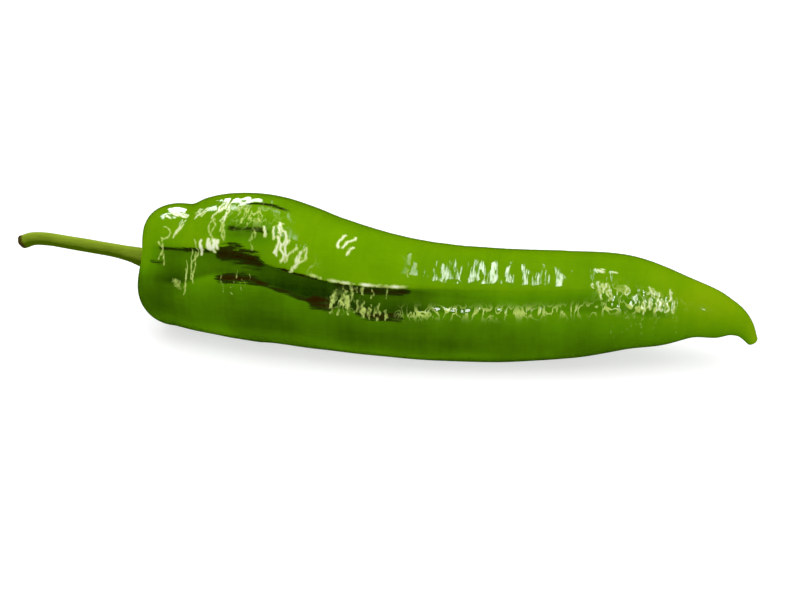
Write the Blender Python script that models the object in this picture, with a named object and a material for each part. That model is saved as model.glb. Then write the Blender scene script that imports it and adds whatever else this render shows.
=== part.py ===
"""A long green chilli pepper, picked, lying on its side: a pod, a calyx and a stem.

The pod's tip points towards +X, its stem towards -X, and it rests on the plane z = 0.
Metres, +Z up. The origin is under the middle of the whole pepper's box.
"""

import math

import bmesh
import bpy
from mathutils import Matrix, Vector

# Pod: its straight length from shoulder to tip, and its radius where the shoulder is fullest.
POD_LENGTH = 0.1760
SHOULDER_RADIUS = 0.0214

# The outline, from the shoulder to the tip. Each station gives its place as a share of the
# pod's length, its radius as a share of the shoulder's, how far the spine sways to +Y, and
# the gap between the skin and the surface that the pepper lies on.
STATIONS = (
    (0.059, 0.838, 0.0034, 0.0014),
    (0.100, 0.895, 0.0030, 0.0004),
    (0.155, 0.965, 0.0020, 0.0),
    (0.222, 1.000, 0.0008, 0.0),
    (0.310, 0.900, -0.0018, 0.0001),
    (0.400, 0.820, -0.0034, 0.0002),
    (0.500, 0.775, -0.0032, 0.0),
    (0.600, 0.755, -0.0018, 0.0),
    (0.700, 0.713, 0.0000, 0.0014),
    (0.785, 0.640, 0.0016, 0.0039),
    (0.850, 0.525, 0.0016, 0.0058),
    (0.905, 0.372, 0.0018, 0.0082),
    (0.945, 0.296, 0.0016, 0.0083),
    (0.970, 0.206, 0.0012, 0.0092),
    (0.988, 0.128, 0.0008, 0.0086),
    (0.999, 0.080, 0.0004, 0.0068),
)
TIP_ROUNDING = 0.0012

# The hollow at the stem end that the calyx sits in, and the shoulder that rolls over its rim.
RECESS_DEPTH = 0.0062
CALYX_MARGIN = 0.0015
SHOULDER_ROLL = 0.0100
RIM_RAISE = 0.0010
STEM_OFFSET_SIDE = 0.0006
STEM_OFFSET_UP = -0.0003

# Three furrows run the pod's length between its three lobes. Each has its route (share of the
# length, angle round the spine, where 0 is +Y and 90 is +Z), depth, half-width in degrees, the
# shares where it is deepest and where it has faded out, and how far it sets the rim back.
FURROWS = (
    {
        "route": ((0.0, 146.0), (0.13, 146.0), (0.31, 159.0), (0.55, 146.0), (1.0, 152.0)),
        "depth": 0.0016,
        "half_width": 12.0,
        "deepest": 0.30,
        "ends": 0.84,
        "setback": 0.0016,
    },
    {
        "route": ((0.0, 268.0), (0.30, 262.0), (0.65, 268.0), (1.0, 256.0)),
        "depth": 0.0012,
        "half_width": 15.0,
        "deepest": 0.25,
        "ends": 0.98,
        "setback": 0.0058,
    },
    {
        "route": ((0.0, 26.0), (0.25, 20.0), (0.60, 28.0), (1.0, 24.0)),
        "depth": 0.0014,
        "half_width": 14.0,
        "deepest": 0.35,
        "ends": 0.82,
        "setback": 0.0012,
    },
)
LOBE_SWELL = 0.0005
LOBE_TOP_ANGLE = 86.0

# Places where the skin is dented in, or swells out where the depth is below zero: share of
# the length, angle, reach along, half-width in degrees, depth.
DENTS = (
    {"at": 0.074, "angle": 70.0, "reach": 0.0028, "half_width": 42.0, "depth": 0.0009},
    {"at": 0.130, "angle": 68.0, "reach": 0.0110, "half_width": 38.0, "depth": -0.0008},
    {"at": 0.234, "angle": 60.0, "reach": 0.0085, "half_width": 32.0, "depth": 0.0009},
    {"at": 0.255, "angle": 155.0, "reach": 0.0240, "half_width": 26.0, "depth": 0.0010},
    {"at": 0.915, "angle": 262.0, "reach": 0.0060, "half_width": 30.0, "depth": -0.0006},
)

# Calyx: the green cap between pod and stem, with short teeth round its edge.
CALYX_RADIUS = 0.0072
CALYX_THICKNESS = 0.0011
CALYX_TEETH = 5
TOOTH_LENGTH = 0.0009
COLLAR_HEIGHT = 0.0019
COLLAR_FLARE = 0.0020

# Stem: radius of its foot, of its shaft and of its cut end.
STEM_FOOT_RADIUS = 0.0036
STEM_RADIUS = 0.0020
STEM_END_RADIUS = 0.0021
# Its route from the collar, as distances back along -X, to +Y and up, to the cut end.
STEM_ROUTE = (
    (0.0000, 0.0000, 0.0000),
    (0.0030, 0.0000, 0.0000),
    (0.0080, 0.0004, 0.0009),
    (0.0140, 0.0008, 0.0016),
    (0.0220, 0.0013, 0.0021),
    (0.0300, 0.0018, 0.0026),
    (0.0345, 0.0020, 0.0028),
    (0.0384, 0.0022, 0.0024),
    (0.0418, 0.0024, 0.0010),
)
STEM_FLARE_ENDS = 0.52

# Gap kept between neighbouring pieces.
CLEARANCE = 0.0003
# How far the weight of the pod flattens its skin where it lies.
REST_FLATTENING = 0.0004

POD_SEGMENTS = 52
POD_RINGS = 92
CALYX_SEGMENTS = 50
CALYX_RINGS = 14
STEM_STEPS_PER_POINT = 4
STEM_BEVEL_RESOLUTION = 4

POD_GREEN = (0.155, 0.381, 0.004)
CALYX_GREEN = (0.120, 0.240, 0.012)
STEM_GREEN = (0.270, 0.400, 0.030)


def clear_scene():
    """Removes every object and the collections that held them."""
    for old in list(bpy.data.objects):
        bpy.data.objects.remove(old, do_unlink=True)
    for old in list(bpy.data.collections):
        bpy.data.collections.remove(old)


def make_collection(name):
    """A new collection under the scene's own."""
    made = bpy.data.collections.new(name)
    bpy.context.scene.collection.children.link(made)
    return made


def make_material(name, colour, roughness):
    """A Principled material of one colour."""
    made = bpy.data.materials.new(name)
    made.use_nodes = True
    shader = made.node_tree.nodes["Principled BSDF"]
    shader.inputs["Base Color"].default_value = (*colour, 1.0)
    shader.inputs["Roughness"].default_value = roughness
    shader.inputs["Metallic"].default_value = 0.0
    return made


def smoothstep(value):
    """0 below 0, 1 above 1, and a smooth rise between."""
    share = min(1.0, max(0.0, value))
    return share * share * (3.0 - 2.0 * share)


def catmull_rom(knots, column, where):
    """The value of a column of the knots at a place, on a smooth curve through them."""
    last = len(knots) - 1
    where = min(max(where, knots[0][0]), knots[last][0])
    left = max(i for i in range(last) if knots[i][0] <= where or i == 0)
    before, start = knots[max(left - 1, 0)], knots[left]
    end, after = knots[left + 1], knots[min(left + 2, last)]
    width = end[0] - start[0]
    share = (where - start[0]) / width
    slope_in = width * (end[column] - before[column]) / (end[0] - before[0])
    slope_out = width * (after[column] - start[column]) / (after[0] - start[0])
    square, cube = share**2, share**3
    return (
        (2 * cube - 3 * square + 1) * start[column]
        + (cube - 2 * square + share) * slope_in
        + (3 * square - 2 * cube) * end[column]
        + (cube - square) * slope_out
    )


def angle_between(angle, centre):
    """The shortest turn in degrees from centre to angle."""
    return (angle - centre + 180.0) % 360.0 - 180.0


def turn_from(furrow, share, angle):
    """How far an angle is from a furrow's route, as a share of its half-width."""
    return angle_between(angle, catmull_rom(furrow["route"], 1, share)) / furrow["half_width"]


def furrow_depth(share, angle):
    """How deep the furrows cut the skin here."""
    depth = 0.0
    for furrow in FURROWS:
        rising = 0.45 + 0.55 * smoothstep(share / furrow["deepest"])
        fading = 1.0 - smoothstep(
            (share - furrow["deepest"]) / (furrow["ends"] - furrow["deepest"])
        )
        across = math.exp(-(abs(turn_from(furrow, share, angle)) ** 3))
        depth += furrow["depth"] * rising * fading * across
    return depth


def dent_depth(share, angle):
    """How deep the dents press the skin here."""
    depth = 0.0
    for dent in DENTS:
        turn = angle_between(angle, dent["angle"]) / dent["half_width"]
        along = (share - dent["at"]) * POD_LENGTH / dent["reach"]
        depth += dent["depth"] * math.exp(-(turn**2) - along**2)
    return depth


def skin_radius(share, angle):
    """The pod's radius at a share of its length and an angle round its spine."""
    radius = SHOULDER_RADIUS * catmull_rom(STATIONS, 1, share)
    fullness = radius / SHOULDER_RADIUS
    swell = LOBE_SWELL * math.cos(math.radians(3 * (angle - LOBE_TOP_ANGLE)))
    return radius + fullness * (swell - dent_depth(share, angle) - furrow_depth(share, angle))


def underside(share):
    """How far the skin reaches below the spine."""
    return max(
        -skin_radius(share, angle) * math.sin(math.radians(angle)) for angle in range(180, 361, 6)
    )


def spine_point(share):
    """The spine's place at a share of the pod's length."""
    return Vector(
        (
            share * POD_LENGTH,
            catmull_rom(STATIONS, 2, share),
            catmull_rom(STATIONS, 3, share) + underside(share),
        )
    )


def spine_axes(share):
    """The spine's direction, and the two directions across it that angles 0 and 90 point to."""
    step = 0.01
    ahead = spine_point(min(share + step, STATIONS[-1][0]))
    behind = spine_point(max(share - step, STATIONS[0][0]))
    along = (ahead - behind).normalized()
    across = Vector((0, 0, 1)).cross(along).normalized()
    return along, across, along.cross(across)


def around(centre, axes, radius, angle, advance=0.0):
    """The point at a radius and angle in the plane across the spine at centre."""
    along, across, upward = axes
    turn = math.radians(angle)
    return (
        centre
        + along * advance
        + across * (radius * math.cos(turn))
        + upward * (radius * math.sin(turn))
    )


def rim_radius():
    """The radius of the crest that the shoulder rolls over into the hollow."""
    mouth = CALYX_RADIUS + TOOTH_LENGTH + CALYX_MARGIN
    return mouth + 0.2 * (skin_radius(STATIONS[0][0], LOBE_TOP_ANGLE) - mouth)


def rim_plane():
    """The spine's place and axes at the crest of the rim."""
    share = STATIONS[0][0]
    axes = spine_axes(share)
    return spine_point(share) - axes[0] * SHOULDER_ROLL + axes[2] * RIM_RAISE, axes


def rim_setback(angle):
    """How far the rim dips back where a furrow crosses it."""
    return sum(
        furrow["setback"] * math.exp(-((turn_from(furrow, 0.0, angle) / 2.4) ** 2))
        for furrow in FURROWS
    )


def hollow_point(radius, angle, raised=0.0):
    """A point of the hollow at the stem end, or one raised off it towards the stem."""
    centre, axes = rim_plane()
    share = radius / rim_radius()
    # The floor is flat under the collar, then rises to the rim.
    flat = collar_radius() / rim_radius()
    climb = min(max((share - flat) / (1.0 - flat), 0.0), 1.0)
    bowl = RECESS_DEPTH * (0.5 + 0.5 * math.cos(math.pi * climb))
    dip = rim_setback(angle) * smoothstep(share)
    off_centre = 1.0 - smoothstep(share)
    centre = centre + axes[1] * (STEM_OFFSET_SIDE * off_centre)
    centre = centre + axes[2] * (STEM_OFFSET_UP * off_centre)
    return around(centre, axes, radius, angle, bowl + dip - raised)


def shoulder_point(share, angle):
    """A point of the shoulder's roll, from the rim's crest at 0 to the body at 1."""
    first = STATIONS[0][0]
    centre, axes = rim_plane()
    turn = share * math.pi / 2
    rim = rim_radius()
    spread = math.sin(turn)
    centre = centre - axes[2] * (RIM_RAISE * spread)
    radius = rim + (skin_radius(first, angle) - rim) * spread
    advance = SHOULDER_ROLL * (1 - math.cos(turn))
    dip = rim_setback(angle) * (1.0 - share) ** 2
    return around(centre, axes, radius, angle, advance + dip)


def body_point(share, angle):
    """A point of the skin between the shoulder and the tip's rounding."""
    return around(spine_point(share), spine_axes(share), skin_radius(share, angle), angle)


def tip_point(share, angle):
    """A point of the rounded tip, from its edge at 0 to its end at 1."""
    last = STATIONS[-1][0]
    turn = share * math.pi / 2
    radius = skin_radius(last, angle) * math.cos(turn)
    return around(
        spine_point(last), spine_axes(last), radius, angle, TIP_ROUNDING * math.sin(turn)
    )


def pod_point(ring, angle):
    """The skin's point on a ring, numbered from the hollow's middle to the tip's end."""
    hollow_rings, roll_rings, tip_rings = 10, 9, 4
    body_rings = POD_RINGS - hollow_rings - roll_rings - tip_rings
    if ring <= hollow_rings:
        return hollow_point(rim_radius() * ring / hollow_rings, angle)
    ring -= hollow_rings
    if ring <= roll_rings:
        return shoulder_point(ring / roll_rings, angle)
    ring -= roll_rings
    if ring <= body_rings:
        # The rings crowd towards the shoulder and the tip, where the outline turns most.
        even = ring / body_rings
        eased = even - 0.09 * math.sin(2 * math.pi * even)
        first, last = STATIONS[0][0], STATIONS[-1][0]
        return body_point(first + (last - first) * eased, angle)
    return tip_point((ring - body_rings) / tip_rings, angle)


def new_mesh_object(name, mesh_data, collection, material):
    """An object for a bmesh, which it frees."""
    mesh = bpy.data.meshes.new(name)
    mesh_data.to_mesh(mesh)
    mesh_data.free()
    mesh.materials.append(material)
    made = bpy.data.objects.new(name, mesh)
    collection.objects.link(made)
    return made


def shaped_ball(name, segments, rings, place, collection, material):
    """A ball whose rings and meridians are moved to where place says."""
    shape = bmesh.new()
    bmesh.ops.create_uvsphere(shape, u_segments=segments, v_segments=rings, radius=1.0)
    for vertex in shape.verts:
        x, y, z = vertex.co
        ring = round(math.acos(max(-1.0, min(1.0, z))) / math.pi * rings)
        vertex.co = place(ring, math.degrees(math.atan2(y, x)) % 360.0)
    # place turns the ball's pole to -X, which mirrors it.
    bmesh.ops.reverse_faces(shape, faces=shape.faces)
    made = new_mesh_object(name, shape, collection, material)
    made.data.shade_smooth()
    return made


def flatten_underside(pod, cutters):
    """Cuts a sliver off the pod's underside, where its weight presses it flat."""
    length = POD_LENGTH + 2 * SHOULDER_RADIUS
    width = 4 * SHOULDER_RADIUS
    depth = SHOULDER_RADIUS
    middle = (POD_LENGTH / 2, 0.0, REST_FLATTENING - depth / 2)
    shape = bmesh.new()
    bmesh.ops.create_cube(
        shape, size=1.0, matrix=Matrix.LocRotScale(middle, None, (length, width, depth))
    )
    cutter = new_mesh_object("rest_cutter", shape, cutters, pod.data.materials[0])
    cutter.hide_render = True
    cutter.display_type = "WIRE"
    cut = pod.modifiers.new("flat_where_it_rests", "BOOLEAN")
    cut.operation = "DIFFERENCE"
    cut.solver = "EXACT"
    cut.object = cutter
    return cutter


def build_pod(collection, material):
    """The fruit itself, one closed skin with a hollow at the stem end."""
    return shaped_ball("pod", POD_SEGMENTS, POD_RINGS, pod_point, collection, material)


def calyx_edge(angle):
    """The calyx's radius at its toothed edge."""
    wave = math.cos(math.radians(CALYX_TEETH * angle))
    return CALYX_RADIUS + TOOTH_LENGTH * max(0.0, wave) ** 2


def collar_radius():
    """The radius of the flat top that the stem's foot stands on."""
    return STEM_FOOT_RADIUS + CLEARANCE


def calyx_thickness(radius):
    """The calyx's thickness, which grows to a collar round the stem's foot."""
    rise = 1.0 - smoothstep((radius - collar_radius()) / COLLAR_FLARE)
    return CALYX_THICKNESS + COLLAR_HEIGHT * rise


def calyx_point(ring, angle):
    """A point of the calyx: rings run over its top to the edge, and back underneath."""
    turn = math.pi * ring / CALYX_RINGS
    radius = calyx_edge(angle) * math.sin(turn)
    side = math.copysign(abs(math.cos(turn)) ** 0.4, math.cos(turn)) if ring * 2 != CALYX_RINGS else 0.0
    thickness = calyx_thickness(radius)
    return hollow_point(radius, angle, CLEARANCE + thickness * (0.5 + 0.5 * side))


def build_calyx(collection, material):
    """The cap that hugs the hollow, with a collar for the stem."""
    return shaped_ball("calyx", CALYX_SEGMENTS, CALYX_RINGS, calyx_point, collection, material)


def build_stem(collection, material):
    """The stalk, a tube that flares to its foot and hooks over at its cut end."""
    _, axes = rim_plane()
    foot = hollow_point(0.0, 0.0, 2 * CLEARANCE + CALYX_THICKNESS + COLLAR_HEIGHT)
    knots = [(i / (len(STEM_ROUTE) - 1), *offsets) for i, offsets in enumerate(STEM_ROUTE)]
    steps = STEM_STEPS_PER_POINT * (len(STEM_ROUTE) - 1)
    curve = bpy.data.curves.new("stem", "CURVE")
    curve.dimensions = "3D"
    curve.bevel_depth = 1.0
    curve.bevel_resolution = STEM_BEVEL_RESOLUTION
    curve.use_fill_caps = True
    spline = curve.splines.new("POLY")
    spline.points.add(steps)
    for i, point in enumerate(spline.points):
        share = i / steps
        back, side, up = (catmull_rom(knots, column, share) for column in (1, 2, 3))
        place = foot - axes[0] * back + axes[1] * side + axes[2] * up
        point.co = (*place, 1.0)
        flare = (1.0 - smoothstep(share / STEM_FLARE_ENDS)) ** 2
        end = smoothstep((share - 0.8) / 0.2)
        shaft = STEM_RADIUS + (STEM_END_RADIUS - STEM_RADIUS) * end
        point.radius = shaft + (STEM_FOOT_RADIUS - shaft) * flare
    curve.materials.append(material)
    made = bpy.data.objects.new("stem", curve)
    collection.objects.link(made)
    return made


def world_corners(objects):
    """The lowest and highest corners of the objects as they show."""
    bpy.context.view_layer.update()
    graph = bpy.context.evaluated_depsgraph_get()
    points = []
    for each in objects:
        shown = each.evaluated_get(graph)
        mesh = shown.to_mesh()
        points += [shown.matrix_world @ v.co for v in mesh.vertices]
        shown.to_mesh_clear()
    low = Vector([min(p[k] for p in points) for k in range(3)])
    high = Vector([max(p[k] for p in points) for k in range(3)])
    return low, high


def stand_on_origin(pieces, others, collection):
    """Parents everything to an empty, placed so that the origin is under the box's middle."""
    low, high = world_corners(pieces)
    root = bpy.data.objects.new("chilli_pepper_frame", None)
    collection.objects.link(root)
    for each in [*pieces, *others]:
        each.parent = root
    root.location = (-(low.x + high.x) / 2, -(low.y + high.y) / 2, -low.z)


def main():
    clear_scene()
    collection = make_collection("chilli_pepper")
    cutters = make_collection("cutters")
    pod = build_pod(collection, make_material("pod_skin", POD_GREEN, 0.25))
    calyx = build_calyx(collection, make_material("calyx_green", CALYX_GREEN, 0.5))
    stem = build_stem(collection, make_material("stem_green", STEM_GREEN, 0.5))
    cutter = flatten_underside(pod, cutters)
    stand_on_origin([pod, calyx, stem], [cutter], collection)


main()
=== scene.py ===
"""A long green chilli pepper, picked and lying on a pale studio floor.

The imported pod, calyx and stem are the frame. Each is stood for by a finer piece of the same
form: the pod's skin has its furrows, creases and crinkles, the calyx its veins and teeth, and
the stem its ribs and its cut end.

Lengths are in metres, and angles are in degrees unless a name says otherwise. Round the pod,
an angle of 0 points to +Y and 90 points up. "Along" is the distance from the crest of the
shoulder towards the tip, and is below zero inside the hollow at the stem end.
"""

import logging
import math
from dataclasses import dataclass, field
from enum import Enum
from typing import Sequence

import bpy
import numpy as np
from mathutils import Matrix, Vector, noise

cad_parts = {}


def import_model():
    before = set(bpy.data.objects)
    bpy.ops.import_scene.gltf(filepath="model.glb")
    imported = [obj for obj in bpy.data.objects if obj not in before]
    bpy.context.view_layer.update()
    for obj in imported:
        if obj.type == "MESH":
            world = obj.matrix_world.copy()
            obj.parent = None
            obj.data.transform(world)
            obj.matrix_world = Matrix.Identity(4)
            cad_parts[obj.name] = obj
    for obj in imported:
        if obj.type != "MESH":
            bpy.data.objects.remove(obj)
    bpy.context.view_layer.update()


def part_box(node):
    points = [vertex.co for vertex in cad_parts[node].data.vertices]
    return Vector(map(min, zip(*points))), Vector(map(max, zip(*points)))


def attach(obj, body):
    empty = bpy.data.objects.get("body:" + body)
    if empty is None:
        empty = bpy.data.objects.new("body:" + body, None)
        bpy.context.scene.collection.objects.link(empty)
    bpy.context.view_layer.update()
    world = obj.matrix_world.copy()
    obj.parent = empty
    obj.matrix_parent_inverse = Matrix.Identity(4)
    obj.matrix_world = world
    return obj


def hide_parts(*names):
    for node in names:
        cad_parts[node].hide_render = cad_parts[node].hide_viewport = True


LOG = logging.getLogger("chilli_pepper")
MM = 0.001


# ---------------------------------------------------------------------------------------------
# Curves and blends
# ---------------------------------------------------------------------------------------------


def smoothstep(values: np.ndarray) -> np.ndarray:
    """0 below 0, 1 above 1 and a smooth rise between.

    Args:
        values: Any array.

    Returns:
        An array of the same shape.
    """
    share = np.clip(values, 0.0, 1.0)
    return share * share * (3.0 - 2.0 * share)


def through(knots: Sequence[Sequence[float]], column: int, where: np.ndarray) -> np.ndarray:
    """Reads a column of knots off a smooth curve through them.

    Args:
        knots: Rows that start with their place, in rising order.
        column: The column to read.
        where: The places to read it at.

    Returns:
        The column's values at those places.
    """
    table = np.array([[row[0], row[column]] for row in knots])
    place, value = table[:, 0], table[:, 1]
    last = len(place) - 1
    where = np.clip(where, place[0], place[last])
    left = np.clip(np.searchsorted(place, where, side="right") - 1, 0, last - 1)
    before, after = np.maximum(left - 1, 0), np.minimum(left + 2, last)
    width = place[left + 1] - place[left]
    share = (where - place[left]) / width
    slope_in = width * (value[left + 1] - value[before]) / (place[left + 1] - place[before])
    slope_out = width * (value[after] - value[left]) / (place[after] - place[left])
    square, cube = share**2, share**3
    return (
        (2 * cube - 3 * square + 1) * value[left]
        + (cube - 2 * square + share) * slope_in
        + (3 * square - 2 * cube) * value[left + 1]
        + (cube - square) * slope_out
    )


def turn_between(angle: np.ndarray, centre: np.ndarray | float) -> np.ndarray:
    """The shortest turn from centre to angle.

    Args:
        angle: Angles in degrees.
        centre: The angle or angles to turn from.

    Returns:
        Turns from -180 to 180 degrees.
    """
    return (angle - centre + 180.0) % 360.0 - 180.0


def unit(vectors: np.ndarray) -> np.ndarray:
    """Vectors of the same directions, one unit long."""
    return vectors / np.maximum(np.linalg.norm(vectors, axis=-1, keepdims=True), 1e-12)


def perlin(points: np.ndarray) -> np.ndarray:
    """Smooth noise between about -1 and 1, with features one unit across.

    Args:
        points: An array of points, (..., 3).

    Returns:
        The noise at each point.
    """
    flat = points.reshape(-1, 3)
    values = np.array([noise.noise(Vector(point)) for point in flat])
    return values.reshape(points.shape[:-1])


# ---------------------------------------------------------------------------------------------
# The pod's form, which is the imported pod's
# ---------------------------------------------------------------------------------------------


@dataclass(frozen=True)
class Furrow:
    """A valley between two lobes.

    Attributes:
        route: Its share of the length and angle, at a few places.
        depth: Its greatest depth.
        half_width: Half its width, in degrees.
        deepest: The share of the length where it is deepest.
        ends: The share of the length where it has faded out.
        setback: How far it sets back the shoulder's rim.
        at_stem: The share of its depth that it has at the stem end.
        rim_spread: How much wider it is on the rim.
    """

    route: tuple[tuple[float, float], ...]
    depth: float
    half_width: float
    deepest: float
    ends: float
    setback: float
    at_stem: float = 0.45
    rim_spread: float = 2.4

    def turns(self, share: np.ndarray, angle: np.ndarray) -> np.ndarray:
        """How far places are from the furrow's middle, as shares of its half-width."""
        return turn_between(angle, through(self.route, 1, share)) / self.half_width

    def strength(self, share: np.ndarray) -> np.ndarray:
        """How strongly it cuts.

        Args:
            share: Shares of the pod's length.

        Returns:
            The strength at each, from 0 to 1.
        """
        rising = self.at_stem + (1.0 - self.at_stem) * smoothstep(share / self.deepest)
        fading = 1.0 - smoothstep((share - self.deepest) / (self.ends - self.deepest))
        return rising * fading

    def depths(self, share: np.ndarray, angle: np.ndarray) -> np.ndarray:
        """How deep it cuts the skin at each place."""
        across = np.exp(-(np.abs(self.turns(share, angle)) ** 3))
        return self.depth * self.strength(share) * across


@dataclass(frozen=True)
class Dent:
    """A shallow dent, or a swelling where its depth is below zero.

    Attributes:
        at: Its share of the length.
        angle: Its angle round the spine.
        reach: How far it reaches along.
        half_width: How far it reaches round, in degrees.
        depth: Its depth.
    """

    at: float
    angle: float
    reach: float
    half_width: float
    depth: float

    def depths(self, share: np.ndarray, angle: np.ndarray, length: float) -> np.ndarray:
        """How deep it presses the skin.

        Args:
            share: Shares of the pod's length.
            angle: Angles round the spine.
            length: The pod's length.

        Returns:
            The depth at each place.
        """
        turn = turn_between(angle, self.angle) / self.half_width
        along = (share - self.at) * length / self.reach
        return self.depth * np.exp(-(turn**2) - along**2)


@dataclass(frozen=True)
class PodForm:
    """The pod's form: a spine, sections across it, and a rolled shoulder with a hollow.

    Attributes:
        length: Straight length from shoulder to tip.
        radius: Radius where the shoulder is fullest.
        stations: Share of the length, share of the radius, sway to +Y, gap under the skin.
        furrows: The valleys between the lobes.
        dents: Dents and swellings.
        lobe_swell: How far the lobes swell out.
        lobe_angle: The angle of the uppermost lobe.
        hollow_depth: Depth of the hollow that the calyx sits in.
        roll: How far the shoulder rolls over along the spine.
        rim_raise: How far the rim is raised off the spine.
        mouth: Radius of the hollow's mouth.
        flat: Radius of the hollow's flat floor.
        crest: How far from the mouth to the skin the rim's crest is, as a share.
        root_side: How far the calyx's middle is off the spine, to +Y.
        root_up: How far the calyx's middle is off the spine, upwards.
        tip_rounding: How far the tip is rounded beyond the last station.
    """

    length: float = 0.1760
    radius: float = 0.0214
    stations: tuple[tuple[float, float, float, float], ...] = (
        (0.059, 0.838, 0.0034, 0.0014),
        (0.100, 0.895, 0.0030, 0.0004),
        (0.155, 0.965, 0.0020, 0.0),
        (0.222, 1.000, 0.0008, 0.0),
        (0.310, 0.900, -0.0018, 0.0001),
        (0.400, 0.820, -0.0034, 0.0002),
        (0.500, 0.775, -0.0032, 0.0),
        (0.600, 0.755, -0.0018, 0.0),
        (0.700, 0.713, 0.0000, 0.0014),
        (0.785, 0.640, 0.0016, 0.0039),
        (0.850, 0.525, 0.0016, 0.0058),
        (0.905, 0.372, 0.0018, 0.0082),
        (0.945, 0.296, 0.0016, 0.0083),
        (0.970, 0.206, 0.0012, 0.0092),
        (0.988, 0.128, 0.0008, 0.0086),
        (0.999, 0.080, 0.0004, 0.0068),
    )
    furrows: tuple[Furrow, ...] = (
        Furrow(
            route=((0.0, 146.0), (0.13, 146.0), (0.31, 159.0), (0.55, 146.0), (1.0, 152.0)),
            depth=0.0016,
            half_width=12.0,
            deepest=0.30,
            ends=0.84,
            setback=0.0016,
        ),
        Furrow(
            route=((0.0, 268.0), (0.30, 262.0), (0.65, 268.0), (1.0, 256.0)),
            depth=0.0012,
            half_width=15.0,
            deepest=0.25,
            ends=0.98,
            setback=0.0058,
        ),
        Furrow(
            route=((0.0, 26.0), (0.25, 20.0), (0.60, 28.0), (1.0, 24.0)),
            depth=0.0014,
            half_width=14.0,
            deepest=0.35,
            ends=0.82,
            setback=0.0012,
        ),
    )
    dents: tuple[Dent, ...] = (
        Dent(at=0.074, angle=70.0, reach=0.0028, half_width=42.0, depth=0.0009),
        Dent(at=0.130, angle=68.0, reach=0.0110, half_width=38.0, depth=-0.0008),
        Dent(at=0.234, angle=60.0, reach=0.0085, half_width=32.0, depth=0.0009),
        Dent(at=0.255, angle=155.0, reach=0.0240, half_width=26.0, depth=0.0010),
        Dent(at=0.915, angle=262.0, reach=0.0060, half_width=30.0, depth=-0.0006),
    )
    lobe_swell: float = 0.0005
    lobe_angle: float = 86.0
    hollow_depth: float = 0.0062
    roll: float = 0.0100
    rim_raise: float = 0.0010
    mouth: float = 0.0096
    flat: float = 0.0039
    crest: float = 0.2
    root_side: float = 0.0006
    root_up: float = -0.0003
    tip_rounding: float = 0.0012

    @property
    def first(self) -> float:
        """The first station's share of the length."""
        return self.stations[0][0]

    @property
    def last(self) -> float:
        """The last station's share of the length."""
        return self.stations[-1][0]

    def skin_radius(self, share: np.ndarray, angle: np.ndarray) -> np.ndarray:
        """The radius of the skin.

        Args:
            share: Shares of the length.
            angle: Angles round the spine.

        Returns:
            The radius at each place.
        """
        radius = self.radius * through(self.stations, 1, share)
        fullness = radius / self.radius
        swell = self.lobe_swell * np.cos(np.radians(3 * (angle - self.lobe_angle)))
        cut = sum(furrow.depths(share, angle) for furrow in self.furrows)
        cut = cut + sum(dent.depths(share, angle, self.length) for dent in self.dents)
        return radius + fullness * (swell - cut)

    def spine(self, share: np.ndarray) -> np.ndarray:
        """The spine, which lies as high as the skin under it needs.

        Args:
            share: Shares of the length.

        Returns:
            The spine's point at each.
        """
        below = np.arange(180.0, 361.0, 6.0)
        radius = self.skin_radius(share[..., None], below)
        underside = np.max(-radius * np.sin(np.radians(below)), axis=-1)
        sway = through(self.stations, 2, share)
        return np.stack(
            (share * self.length, sway, through(self.stations, 3, share) + underside), axis=-1
        )

    def axes(self, share: np.ndarray) -> tuple[np.ndarray, np.ndarray, np.ndarray]:
        """The spine's direction and the two directions across it.

        Args:
            share: Shares of the length.

        Returns:
            The directions along the spine, to angle 0 and to angle 90.
        """
        step = 0.01
        ahead = self.spine(np.minimum(share + step, self.last))
        behind = self.spine(np.maximum(share - step, self.first))
        along = unit(ahead - behind)
        across = unit(np.cross(np.array((0.0, 0.0, 1.0)), along))
        return along, across, np.cross(along, across)

    def rim_radius(self) -> float:
        """Radius of the crest that the shoulder rolls over."""
        skin = float(self.skin_radius(np.array(self.first), np.array(self.lobe_angle)))
        return self.mouth + self.crest * (skin - self.mouth)

    def rim_plane(self) -> tuple[np.ndarray, tuple[np.ndarray, np.ndarray, np.ndarray]]:
        """Where the crest of the rim is.

        Returns:
            The spine's point there and its three axes.
        """
        share = np.array(self.first)
        axes = self.axes(share)
        return self.spine(share) - axes[0] * self.roll + axes[2] * self.rim_raise, axes

    def rim_setback(self, angle: np.ndarray) -> np.ndarray:
        """How far the rim dips back where the furrows cross it.

        Args:
            angle: Angles round the spine.

        Returns:
            The setback at each.
        """
        start = np.zeros_like(angle)
        return sum(
            furrow.setback * np.exp(-((furrow.turns(start, angle) / furrow.rim_spread) ** 2))
            for furrow in self.furrows
        )

    def hollow(
        self, radius: np.ndarray, angle: np.ndarray, raised: np.ndarray | float = 0.0
    ) -> np.ndarray:
        """Points of the hollow's floor, or raised off it towards the stem.

        Args:
            radius: Distances from the hollow's middle.
            angle: Angles round it.
            raised: How far off the floor.

        Returns:
            The points.
        """
        centre, (along, across, upward) = self.rim_plane()
        rim = self.rim_radius()
        share = radius / rim
        climb = np.clip((share - self.flat / rim) / (1.0 - self.flat / rim), 0.0, 1.0)
        bowl = self.hollow_depth * (0.5 + 0.5 * np.cos(math.pi * climb))
        advance = bowl + self.rim_setback(angle) * smoothstep(share) - raised
        off_centre = 1.0 - smoothstep(share)
        turn = np.radians(angle)
        side = self.root_side * off_centre + radius * np.cos(turn)
        height = self.root_up * off_centre + radius * np.sin(turn)
        return (
            centre
            + advance[..., None] * along
            + side[..., None] * across
            + height[..., None] * upward
        )

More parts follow.
